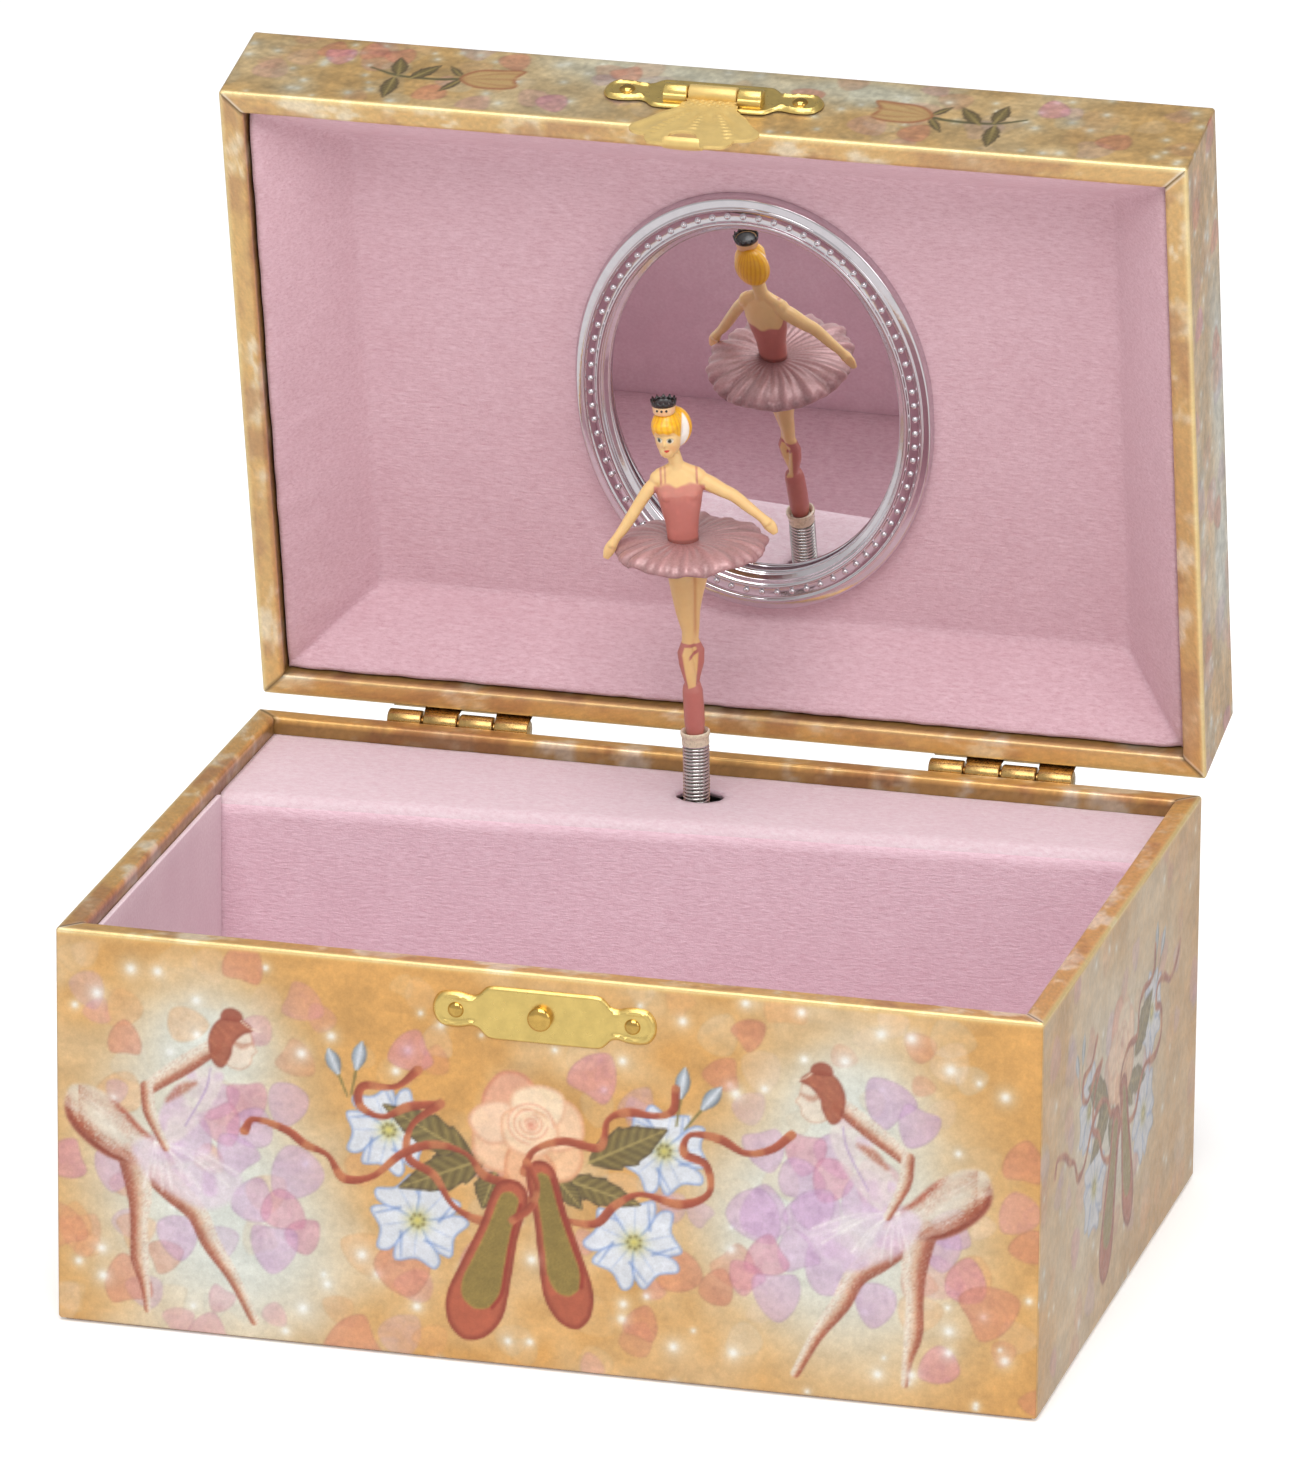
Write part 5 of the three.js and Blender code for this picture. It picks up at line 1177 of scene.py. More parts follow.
def relief_plate(outline, step, thickness, height, holes=()):
    """A pressed plate in the (x, z) plane facing -y: height(x, z, edge) lifts its face off y = 0."""
    outline = np.asarray(outline, float)
    x = np.arange(outline[:, 0].min() - step, outline[:, 0].max() + 2 * step, step)
    z = np.arange(outline[:, 1].min() - step, outline[:, 1].max() + 2 * step, step)
    gx, gz = np.meshgrid(x, z)
    depth, near_x, near_z = nearest_on(outline, gx, gz)
    for hole in holes:
        other, hole_x, hole_z = nearest_on(np.asarray(hole, float), gx, gz)
        closer = np.abs(other) < np.abs(depth)
        near_x, near_z = np.where(closer, hole_x, near_x), np.where(closer, hole_z, near_z)
        depth = np.minimum(depth, -other)
    kept = (depth[:-1, :-1] + depth[1:, :-1] + depth[:-1, 1:] + depth[1:, 1:]) > 0
    uses = np.zeros(gx.shape, int)
    for dj in (0, 1):
        for di in (0, 1):
            uses[dj:len(z) - 1 + dj, di:len(x) - 1 + di] += kept
    border = (uses > 0) & (uses < 4)
    gx, gz = np.where(border, near_x, gx), np.where(border, near_z, gz)
    depth = np.where(border, 0, np.maximum(depth, 0))
    index = np.full(gx.shape, -1)
    used = uses > 0
    index[used] = np.arange(used.sum())
    px, pz = gx[used], gz[used]
    lift = height(px, pz, depth[used])
    front = np.stack([px, -lift, pz], 1)
    back = np.stack([px, np.full_like(px, thickness), pz], 1)
    j, i = np.nonzero(kept)
    quads = np.stack([index[j, i], index[j, i + 1], index[j + 1, i + 1], index[j + 1, i]], 1)
    faces = quads.tolist() + (quads[:, ::-1] + len(front)).tolist()
    edges = {(a, b) for q in quads for a, b in zip(q, np.roll(q, -1))}
    faces += [[b, a, a + len(front), b + len(front)] for a, b in edges if (b, a) not in edges]
    return np.concatenate([front, back]), faces


def lobed_outline(z):
    """The lobed plate shared by the latch and the clasp bracket."""
    quarter = [(0, 4.2), (4.5, 4.2), (8.2, 4.15), (9.3, 3.6), (10.2, 2.7), (11.3, 2.45), (12.6, 2.75),
               (14.2, 2.9), (16.0, 2.55), (17.0, 1.3), (17.25, 0)]
    right = quarter + [(x, -y) for x, y in quarter[-2::-1]]
    points = right + [(-x, y) for x, y in right[-2:0:-1]]
    return through(np.array(points) + (0, z), 150, closed=True)


NAIL_PROFILE = [(1e-3, 0.62), (0.55, 0.58), (0.95, 0.42), (1.2, 0.16), (1.25, 0.0), (0.9, -0.25)]


def nail(x, z, face, size=1.0):
    """A domed nail head on a plate whose face is at y = face."""
    verts, faces = revolve([(r * size, h * size) for r, h in NAIL_PROFILE[::-1]], 24)
    return np.stack([verts[:, 0] + x, face - verts[:, 2], verts[:, 1] + z], 1), [f[::-1] for f in faces]


def plate_height(px, edge):
    """The plates are slightly dished, with a raised bead round each lobe and a rounded edge."""
    lobes = np.abs(px) > 10.5
    lift = 0.42 * smooth(0, 0.35, edge) ** 0.7
    lift = lift + np.where(lobes, 0.28 * np.exp(-((edge - 0.75) / 0.32) ** 2), 0)
    return lift + 0.05 * np.exp(-((edge - 0.6) / 0.3) ** 2)


def add_nails(fitting, z, face, body, at):
    """The two nails that hold a fitting whose plate's face is at y = face."""
    for side, x in (("left", -NAIL_X), ("right", NAIL_X)):
        piece(f"{fitting}_nail_{side}_brass", *nail(x, z, face), body, "brass", POLISHED_BRASS, at,
              (f"{fitting}_nail_{side}",))


def build_latch():
    """The lobed plate on the front of the base, with its knob and nails."""
    face = -HALF_Y - 0.02
    verts, faces = relief_plate(
        lobed_outline(LATCH_Z), 0.25, 0.0, lambda px, pz, edge: plate_height(px, edge))
    piece("latch_plate_brass", verts + (0, face, 0), faces, "base", "brass", BRASS,
          replaces=("latch_plate",), sharp=50)
    tip = 1.32
    profile = [(1.5, -0.3), (1.5, tip * 0.28), (1.62, tip * 0.42), (1.84, tip * 0.55), (1.86, tip * 0.66),
               (1.7, tip * 0.84), (1.3, tip * 1.02), (0.7, tip * 1.1), (0.25, tip * 1.06),
               (1e-3, tip * 1.04)]
    verts, faces = revolve(profile, 32)
    verts = np.stack([verts[:, 0] + SPINDLE.x, face - 0.44 - verts[:, 2], verts[:, 1] + LATCH_Z], 1)
    piece("latch_knob_brass", verts, [f[::-1] for f in faces], "base", "brass", POLISHED_BRASS,
          replaces=("latch_knob",), sharp=50)
    add_nails("latch", LATCH_Z, face - 0.36, "base", BASE)


def rounded_bar(x0, x1, y, z, radius, sides=20, ease=0.25):
    """A bar along x with softened ends."""
    xs = [x0, x0 + ease * 0.3, x0 + ease, x1 - ease, x1 - ease * 0.3, x1]
    radii = [radius - ease, radius - ease * 0.3, radius, radius, radius - ease * 0.3, radius - ease]
    return tube([(x, y, z) for x in xs], radii, sides)


def build_clasp():
    """The bracket on the lid, with its nails and the pin that the hasp hangs on."""
    face = -HALF_Y - 0.3
    middle, axis_y, axis_z = HASP_AXIS
    window = [(middle + x, axis_z + z) for x, z in ((-4.1, -1.7), (4.1, -1.7), (4.1, 1.7), (-4.1, 1.7))]
    shape = Mesh()

    def height(px, pz, edge):
        lift = plate_height(px, edge)
        pad = smooth(0.5, 1.2, 7.9 - np.abs(px - middle)) * smooth(3.6, 2.2, np.abs(pz - BRACKET_Z - 0.8))
        return lift + 0.35 * pad * smooth(0.2, 1.0, edge)

    verts, faces = relief_plate(lobed_outline(BRACKET_Z), 0.25, 0.0, height, [window])
    shape.add(verts + (0, face, 0), faces)
    for side in (-1, 1):
        a = middle + side * 3.95
        ends = sorted((a, a + side * 3.8))
        shape.add(*rounded_bar(*ends, axis_y, axis_z, 1.4))
        wrap = [(ends[0] + 0.1, axis_y + 0.5, axis_z - 1.2), (ends[1] - 0.1, axis_y + 0.5, axis_z - 1.2)]
        shape.add(*tube(wrap, [[0.9, 0.5]] * 2))
    shape.make("clasp_bracket_brass", "lid", "brass", BRASS, at=LID, replaces=("clasp_bracket",), sharp=50)
    verts, faces = rounded_bar(middle - 7.7, middle + 7.7, axis_y, axis_z, 0.6, 16, 0.15)
    piece("clasp_pin_brass", verts, faces, "lid", "brass", BRASS, LID, ("clasp_pin",))
    add_nails("clasp", BRACKET_Z, face - 0.36, "lid", LID)


def build_hasp():
    """The scallop-shaped plate with fanned rays and punched dashes, its knuckle and its curled lip."""
    half = [(0, -19.35), (2.9, -19.3), (3.2, -18.7), (4.4, -18.3), (5.8, -17.9), (6.7, -16.6), (7.0, -15.2),
            (8.3, -14.6), (9.4, -13.9), (10.1, -12.7), (9.9, -11.2), (9.0, -10.1), (7.9, -8.6), (6.5, -6.4),
            (5.2, -4.9), (4.5, -3.9), (4.4, -2.6), (3.7, -2.0), (3.6, -0.9)]
    outline = through(np.array(half + [(-x, z) for x, z in half[:0:-1]]), 190, closed=True)
    slot = [(-1 + 2.2 * math.cos(a), -15.5 + 1.75 * math.sin(a))
            for a in np.linspace(0, TAU, 28, endpoint=False)]

    def height(px, pz, edge):
        reach = np.hypot(px, pz + 1.0)
        angle = np.arctan2(px, -pz - 1.0)
        wave = np.cos(angle * 15)
        rays = 0.2 * wave * smooth(4.6, 6.4, reach) * smooth(0.4, 1.4, edge)
        dashes = smooth(0.2, 0.9, np.cos(reach * 5.2 + np.round(angle * 15 / TAU) * 2.1))
        dashes = 0.2 * dashes * smooth(0.5, 0.95, wave) * smooth(5.4, 6.6, reach) * smooth(0.6, 1.2, edge)
        beads = np.cos(px * 4.6) * np.cos(pz * 4.6) * smooth(-4.3, -3.6, pz) * 0.12 * smooth(0.3, 0.8, edge)
        bow = 0.5 * smooth(-5, -13, pz) * smooth(11, 2, np.abs(px))
        return 0.1 * smooth(0, 0.3, edge) + rays - dashes + beads + bow

    verts, faces = relief_plate(outline, 0.2, 0.35, height, [slot])
    bow_back = 0.5 * smooth(-5, -13, verts[:, 2]) * smooth(11, 2, np.abs(verts[:, 0]))
    back = verts[:, 1] > 0.34
    verts[back, 1] -= bow_back[back]
    shape = Mesh().add(verts + (0, 0.42, 0), faces)
    shape.add(*rounded_bar(-3.8, 3.8, 0, 0, 1.4, 24))
    shape.add(*tube([(-3.7, 0.55, -1.0), (3.7, 0.55, -1.0)], [[0.8, 0.35]] * 2, 12))
    lip = [(0.1, -19.0), (0.0, -19.5), (-0.5, -20.0), (-1.2, -20.15), (-1.7, -19.9), (-1.9, -19.5)]
    path = [(0, y + 0.1, z) for y, z in lip]
    shape.add(*tube(path, [[3.05, 0.22], [3.0, 0.22], [2.95, 0.2], [2.9, 0.2], [2.85, 0.18], [2.7, 0.1]],
                    20, flatten=(1, 0, 0)))
    shape.make("clasp_hasp_brass", "hasp", "brass", SATIN_BRASS, at=HASP, replaces=("clasp_hasp",),
               sharp=50)


def build_hinges():
    """Two strap hinges: on each a leaf on the base and one on the lid, tacked down, round one pin."""
    quarter = HINGE_WIDTH / 4
    for side, x in (("left", -HINGE_X), ("right", HINGE_X)):
        for part, at, knuckles in (("base", BASE, (0, 2)), ("lid", LID, (1, 3))):
            shape = Mesh()
            plate_y = HALF_Y + (0.02 if part == "base" else 0.3)
            half = HINGE_WIDTH / 2
            sign = 1 if part == "base" else -1
            near = HINGE_Z - sign * 8.6
            outline = [(-half, near + sign * 1.6), (-half + 1.6, near), (half - 1.6, near),
                       (half, near + sign * 1.6)]
            for index in reversed(range(4)):
                a, b = -half + index * quarter, -half + (index + 1) * quarter
                reach = HINGE_Z if 3 - index in knuckles else HINGE_Z - sign * 2.0
                outline += [(b - 0.12, reach), (a + 0.12, reach)]
            verts, faces = relief_plate(
                outline, 0.4, 0.0, lambda px, pz, edge: 0.6 * smooth(0, 0.25, edge) ** 0.7)
            shape.add(np.stack([x - verts[:, 0], plate_y - verts[:, 1], verts[:, 2]], 1), faces)
            for index in knuckles:
                a = x - half + index * quarter
                shape.add(*rounded_bar(a + 0.16, a + quarter - 0.16, HINGE_Y, HINGE_Z, 1.7, 24))
            for tack in (-6.4, 6.4):
                middle = (near + HINGE_Z - sign * 1.4) / 2
                verts, faces = nail(x + tack, middle, 0.0, 1.1)
                verts = verts * (1, -1, 1) + (0, plate_y + 0.55, 0)
                shape.add(verts, [f[::-1] for f in faces])
            shape.make(f"{side}_hinge_{part}_leaf_brass", part, "brass", DULL_BRASS, at=at,
                       replaces=(f"{side}_hinge_{part}_leaf",), sharp=50)
        verts, faces = rounded_bar(x - 11.5, x + 11.5, HINGE_Y, HINGE_Z, 0.8, 16, 0.2)
        piece(f"{side}_hinge_pin_brass", verts, faces, "base", "brass", DULL_BRASS,
              replaces=(f"{side}_hinge_pin",))


# ---- Mirror --------------------------------------------------------------------------------------
def oval_sweep(profile, steps=160):
    """A closed ring round the glass: profile is (distance outside the glass's edge, height)."""
    angle = round_steps(steps)
    a, b = MIRROR_GLASS
    edge = np.stack([a * np.cos(angle), b * np.sin(angle)], 1)
    out = np.stack([b * np.cos(angle), a * np.sin(angle)], 1)
    out /= np.linalg.norm(out, axis=1)[:, None]
    rings = []
    for offset, z in profile:
        stretch = 1 + (offset / 5.9) * (np.abs(np.sin(angle)) * 0.14)
        rings.append(np.column_stack([edge + out * (offset * stretch)[:, None], np.full(steps, z)]))
    return np.concatenate(rings), grid_faces(len(profile), steps, wrap_rows=True, wrap_columns=True)


def build_mirror():
    """Metallised oval frame with a beaded band and stepped inner edge, and the silvered glass in it."""
    chrome = metal_look("metallised_plastic", (214, 208, 212), (0.07, 0.16), 0.93)
    back = 79.0
    profile = [(0.12, 0.4), (0.05, 0.1), (0.1, -0.5), (0.4, -0.8), (0.9, -1.0), (1.0, -1.1), (1.15, -1.5),
               (1.4, -1.95), (1.6, -2.1), (1.8, -2.12), (1.95, -2.0), (2.02, -1.8), (2.1, -1.7),
               (2.25, -1.66), (3.5, -1.64), (3.62, -1.68), (3.72, -1.84), (3.85, -1.98), (4.0, -1.98),
               (4.12, -1.84), (4.2, -1.74), (4.3, -1.72), (4.95, -1.66), (5.15, -1.58), (5.34, -1.34),
               (5.48, -0.9), (5.5, 0.15)]
    shape = Mesh().add(*oval_sweep([(offset, back + rise) for offset, rise in profile]))
    beads = 76
    a, b = MIRROR_GLASS[0] + 2.9, MIRROR_GLASS[1] + 2.9
    dense = np.linspace(0, TAU, 3000)
    line = np.stack([a * np.cos(dense), b * np.sin(dense)], 1)
    run = np.concatenate([[0], np.cumsum(np.hypot(*np.diff(line, axis=0).T))])
    for k in range(beads):
        i = np.searchsorted(run, run[-1] * k / beads)
        shape.add(*ball((line[i][0], line[i][1], back - 1.66), (0.52, 0.52, 0.42), 8, 14))
    at = LID @ Matrix.Translation(MIRROR_AT)
    shape.make("mirror_frame_beaded", "lid", "chrome_plastic", chrome, at=at, replaces=("mirror_frame",),
               sharp=60)
    glass = Look("silvered_glass", Metallic=1.0, Roughness=0.01)
    haze = glass.noise(300, 4)
    glass.set("Base Color", glass.mix(glass.span(haze, 0, 1), linear(236, 237, 239), linear(242, 243, 245)))
    count, grow, front, thick = 96, 1.004, 79.27, 0.3
    angle = round_steps(count)
    verts = np.concatenate([ring(angle, MIRROR_GLASS[0] * grow, z, MIRROR_GLASS[1] / MIRROR_GLASS[0])
                            for z in (front, front + thick)])
    verts[:, 2] += math.tan(math.radians(1.22)) * verts[:, 1] - math.tan(math.radians(0.26)) * verts[:, 0]
    sides = grid_faces(2, count, wrap_columns=True, flip=True)
    faces = sides + ring_faces(2, count)[-2:]
    piece("mirror_glass_silvered", verts, faces, "lid", "mirror", glass.material, at, ("mirror_glass",),
          flat=True)


# ---- Dancer --------------------------------------------------------------------------------------
def build_spring():
    """The close-wound coil from the spindle through the hole in the cover up to the socket."""
    foot, bend, end = Vector((-0.9, 39.2, 53.7)), Vector((-0.9, 39.2, 62)), DANCER @ Vector((0, 0, 7.5))
    turns, per_turn, wire = 26, 28, 0.22
    t = np.linspace(0, 1, turns * per_turn + 1)[:, None]
    a, b, c = (np.array(p) for p in (foot, bend, end))
    line = a * (1 - t) ** 2 + 2 * b * t * (1 - t) + c * t ** 2
    angle = t[:, 0] * turns * TAU
    radius = 2.12 - wire
    coil = line + np.stack([radius * np.cos(angle), radius * np.sin(angle), np.zeros(len(angle))], 1)
    verts, faces = tube(coil, wire, 10)
    look = Look("spring_wire", Metallic=1.0)
    look.set("Base Color", look.mix(look.span(look.noise(500, 3), 0, 1), linear(196, 194, 190),
                                    linear(214, 212, 208)))
    look.set("Roughness", look.span(look.noise(1500, 3), 0.14, 0.24))
    made = piece("dancer_spring_coil", verts, faces, None, "steel", look.material,
                 replaces=("dancer_spring",))
    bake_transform(made)


SKIN, HAIR, CORAL = linear(234, 196, 134), linear(244, 186, 28), linear(192, 116, 106)
MAUVE, INK, VEIL = linear(170, 126, 126), linear(32, 26, 26), linear(244, 236, 226)
LIPS = linear(196, 44, 34)


def build_dancer():
    """A moulded doll in a clear socket: legs, skirt, and upper body."""
    skin = plastic_look("painted_skin", Subsurface_Weight=0.12, Subsurface_Scale=0.0012)
    socket = plastic_look("clear_socket", (232, 218, 190), (0.24, 0.32), 0.5, 0.02,
                          Transmission_Weight=0.12, IOR=1.46)
    profile = [(1.2, 7.5), (2.1, 7.5), (2.14, 7.7), (2.12, 8.6), (2.16, 8.85), (2.28, 9.0), (2.32, 9.3),
               (2.28, 9.55), (2.05, 9.65), (1.75, 9.4), (1.6, 8.9), (1.55, 8.6)]
    verts, faces = revolve(profile, 32)
    piece("dancer_socket_moulded", verts, faces, "dancer", "socket_plastic", socket, DANCER,
          ("dancer_socket",), sharp=50)
    build_legs(skin)
    build_tutu()
    build_upper_body(skin)


def build_legs(look):
    """A peg into the socket, two crossed slippers laced at the ankle, and the legs up into the skirt."""
    shape = Mesh()
    shape.add(*tube([(0, 0, 7.7), (0, 0, 9.5), (0, 0, 11), (0, 0, 14), (-0.05, 0, 16.4), (-0.1, 0, 17.5)],
                    [1.05, 1.45, 1.6, 1.62, 1.6, 1.35], 20))
    shape.add(*tube([(0.0, -0.5, 16.4), (-0.35, -0.55, 18.6), (-0.75, -0.4, 21), (-0.9, -0.3, 22.8),
                     (-0.35, -0.3, 24.7), (-0.15, -0.3, 26.4), (-0.55, -0.35, 29.7), (-0.7, -0.3, 32.5),
                     (-0.8, -0.25, 35), (-0.9, -0.1, WAIST - 3)],
                    [0.8, 1.0, 1.2, 1.22, 1.0, 1.1, 1.5, 1.82, 2.08, 2.15], 20))
    shape.add(*tube([(0.1, 0.4, 16.6), (0.5, 0.5, 18.8), (1.0, 0.45, 21), (1.15, 0.4, 22.8),
                     (0.4, 0.3, 24.7), (0.45, 0.35, 26.4), (0.5, 0.5, 29.7), (0.95, 0.6, 32.5),
                     (1.5, 0.6, 35), (1.5, 0.5, WAIST - 3)],
                    [0.7, 0.85, 1.0, 1.0, 0.94, 1.05, 1.32, 1.52, 1.72, 1.85], 20))
    verts, faces = remeshed(*shape.all()[:2], 0.16)
    x, y, z = verts.T
    reach = np.interp(z, [17.4, 20, 22.8, 24.4], [1.0, 1.65, 2.15, 1.25])
    shoe = smooth(17.5, 17.2, z - 0.3 * x)
    sides = smooth(0.5, 0.66, np.abs(x + 0.1) / reach) * smooth(24.5, 24.1, z)
    lace = smooth(0.4, 0.26, np.abs(z - 22.5 - 0.75 * (x - 0.2))) * smooth(-0.5, -0.1, x)
    cuff = smooth(0.36, 0.24, np.abs(z - 24.2 + 0.15 * x))
    shoe = np.maximum.reduce([shoe, sides, lace, cuff])[:, None]
    colour = SKIN * (1 - shoe) + CORAL * shoe
    # painted shade: a brownish line in the groove between the legs, and the legs a little darker towards
    # their back
    between = (x - np.interp(z, [26.4, 35], [0.85, 1.2])) / 0.26
    crease = np.exp(-between ** 2) * smooth(25, 27, z) * (y < 0.6)
    colour = paint(colour, 0.6 * crease, linear(202, 130, 74)) * (1 - 0.12 * smooth(0.6, 1.6, y)[:, None])
    piece("dancer_legs_painted", verts, faces, "dancer", "skin_plastic", look, FIGURE, ("dancer_legs",),
          colour)


def build_tutu():
    """A stiff moulded skirt: fine ridges run out from the waist into an uneven fluted edge."""
    look = Look("pearl_tutu", Metallic=0.2, Coat_Weight=0.3, Coat_Roughness=0.3)
    flakes = look.noise(2600, 3)
    colour = look.mix(look.span(flakes, 0, 0.3), look.attribute("print"), linear(214, 176, 174))
    look.set("Base Color", colour)
    look.set("Roughness", look.span(look.noise(1500, 3), 0.3, 0.46))
    look.bump((look.noise(1400, 4), 0.25, 0.00015))
    steps, z = 480, WAIST - 0.7
    angle = round_steps(steps)
    wander = 0.5 * np.sin(3 * angle + 1) + 0.3 * np.sin(5 * angle + 2.2)
    fine = np.sin(34 * angle + 2.2 * wander)
    flute = np.sin(15 * angle + 1.7 * wander) * (0.75 + 0.25 * np.sin(4 * angle))
    swell = np.sin(5 * angle + 0.4) * 0.6 + np.sin(8 * angle + 2) * 0.4
    rows = [(1.3, 0.3), (2.0, 0.5), (2.8, 0.72), (4.0, 1.0), (5.4, 1.15), (6.8, 1.15), (8.2, 1.02),
            (9.4, 0.78), (10.4, 0.46), (11.1, 0.1), (11.5, -0.3), (11.62, -0.75), (11.5, -1.1),
            (11.1, -1.15), (10, -0.4), (7, 0.35), (3.5, 0.1), (1.3, -0.5)]
    verts, colours = [], []
    for k, (radius, height) in enumerate(rows):
        grow = smooth(4, 11.6, radius)
        near = smooth(2.0, 5, radius)
        edge = smooth(10.4, 11.6, radius)
        under = k > 12
        reach = radius + edge * (0.16 * fine + 0.3 * flute + 0.2 * swell) * (0 if under else 1)
        lift = height + z + grow * (0.34 * flute + 0.4 * swell) + near * 0.06 * fine * (1 + 0.4 * edge)
        shift = 0.85 * smooth(1.5, 7, radius)
        verts.append(np.stack([reach * np.cos(angle) + shift, reach * np.sin(angle), lift], 1))
        # painted shade: the mauve is darker in the hollows of the flutes and ridges, lighter on their crests
        # and a little lighter towards the edge, and darker still on the underside rows
        ridge = 0.5 + 0.2 * fine * near + 0.3 * flute * grow
        painted_shade = (0.7 + 0.42 * ridge) * (0.95 + 0.1 * grow) * (0.7 if under else 1)
        colours.append(MAUVE * painted_shade[:, None])
    faces = grid_faces(len(rows), steps, wrap_rows=True, wrap_columns=True)
    piece("dancer_tutu_pleated", np.concatenate(verts), faces, "dancer", "tutu_plastic", look.material,
          FIGURE, ("dancer_tutu",),
          np.concatenate(colours))


def paint(colour, amount, tint):
    """A coat of tint over the colours, as thick as amount says at each point."""
    amount = np.asarray(amount)[:, None]
    return colour * (1 - amount) + tint * amount


def build_upper_body(look):
    """Torso, arms, neck and head joined in one skin and painted, under a band and a little crown."""
    head = np.array((-1.7, -0.4, WAIST + 17.0))
    shape = Mesh()
    sections = [(-3.1, 0, 1.6, 1.3), (-1.6, -0.15, 2.0, 1.5), (-0.5, -0.25, 2.4, 1.75),
                (0.9, -0.3, 2.42, 1.75), (2.9, -0.3, 2.6, 1.85), (5.4, -0.35, 3.15, 2.15),
                (7.9, -0.43, 3.65, 2.3), (9.4, -0.45, 3.7, 2.0), (10.6, -0.45, 3.1, 1.6),
                (11.6, -0.5, 1.7, 1.2)]
    shape.add(*tube([(x, 0, WAIST + z) for z, x, a, b in sections], [(a, b) for z, x, a, b in sections], 28,
                    flatten=(1, 0, 0)))
    for side in (-1, 1):
        shape.add(*ball((side * 1.5 - 0.45, -0.95, WAIST + 7.7), (1.6, 1.2, 1.4), 8, 12))
        shape.add(*ball((side * 3.0 - 0.5, 0, WAIST + 10.15), (1.45, 1.35, 1.35), 8, 12))
        shape.add(*tube([(-0.6, 0, WAIST + 12.3), (side * 1.5 - 0.6, 0, WAIST + 11.3),
                         (side * 3.0 - 0.5, 0, WAIST + 10.6)], [0.9, 1.05, 1.1], 14))
    shape.add(*tube([(-0.5, 0.05, WAIST + 10.8), (-0.7, 0, WAIST + 12.6), (-1.1, -0.1, WAIST + 14.2),
                     (-1.5, -0.1, WAIST + 15.4)],
                    [1.3, 1.12, 1.12, 1.15], 16))
    left = [(-3.2, 0.05, 9.9, 1.1), (-4.9, -0.1, 8.7, 1.04), (-6.6, -0.3, 6.4, 0.95),
            (-8.0, -0.55, 4.3, 0.92), (-9.4, -0.7, 2.3, 0.82), (-10.6, -0.85, 0.8, 0.7),
            (-11.6, -0.9, -0.8, 0.95), (-12.3, -0.9, -2.3, 0.5)]
    right = [(2.5, 0.05, 9.9, 1.2), (4.2, -0.1, 9.0, 1.26), (6.2, -0.3, 7.8, 1.1), (7.9, -0.55, 6.9, 1.0),
             (10, -0.7, 5.0, 0.88), (12.0, -0.85, 3.2, 0.74), (13.2, -0.9, 1.8, 1.0),
             (14.0, -0.9, 0.5, 0.5)]
    for arm in (left, right):
        line = through([(x, y, WAIST + z, r) for x, y, z, r in arm], 30)
        flat = np.where(np.linspace(0, 1, 30) > 0.8, 0.6, 1)
        shape.add(*tube(line[:, :3], np.stack([line[:, 3] * flat, line[:, 3]], 1), 14, flatten=(0, 1, 0)))
    shape.add(*ball(head, (2.1, 2.35, 2.95), 14, 20))
    shape.add(*ball(head + (-0.25, -0.75, -1.6), (1.35, 1.45, 1.5), 8, 14))
    shape.add(*ball(head + (-0.66, -2.25, -0.45), (0.26, 0.36, 0.5), 6, 8))
    shape.add(*ball(head + (-0.1, 0.25, 1.75), (2.5, 2.6, 2.85), 12, 18))
    shape.add(*ball(head + (-0.35, -1.0, 2.1), (2.1, 1.75, 1.45), 10, 16))
    shape.add(*ball(head + (0.75, 1.35, 1.2), (3.0, 2.1, 3.4), 12, 20))
    verts, faces = remeshed(*shape.all()[:2], 0.14)
    parts = Mesh().add(verts, faces, paint_figure(verts, head))
    add_headdress(parts, head)
    parts.make("dancer_upper_body_painted", "dancer", "painted_plastic", look, at=FIGURE,
               replaces=("dancer_upper_body",))


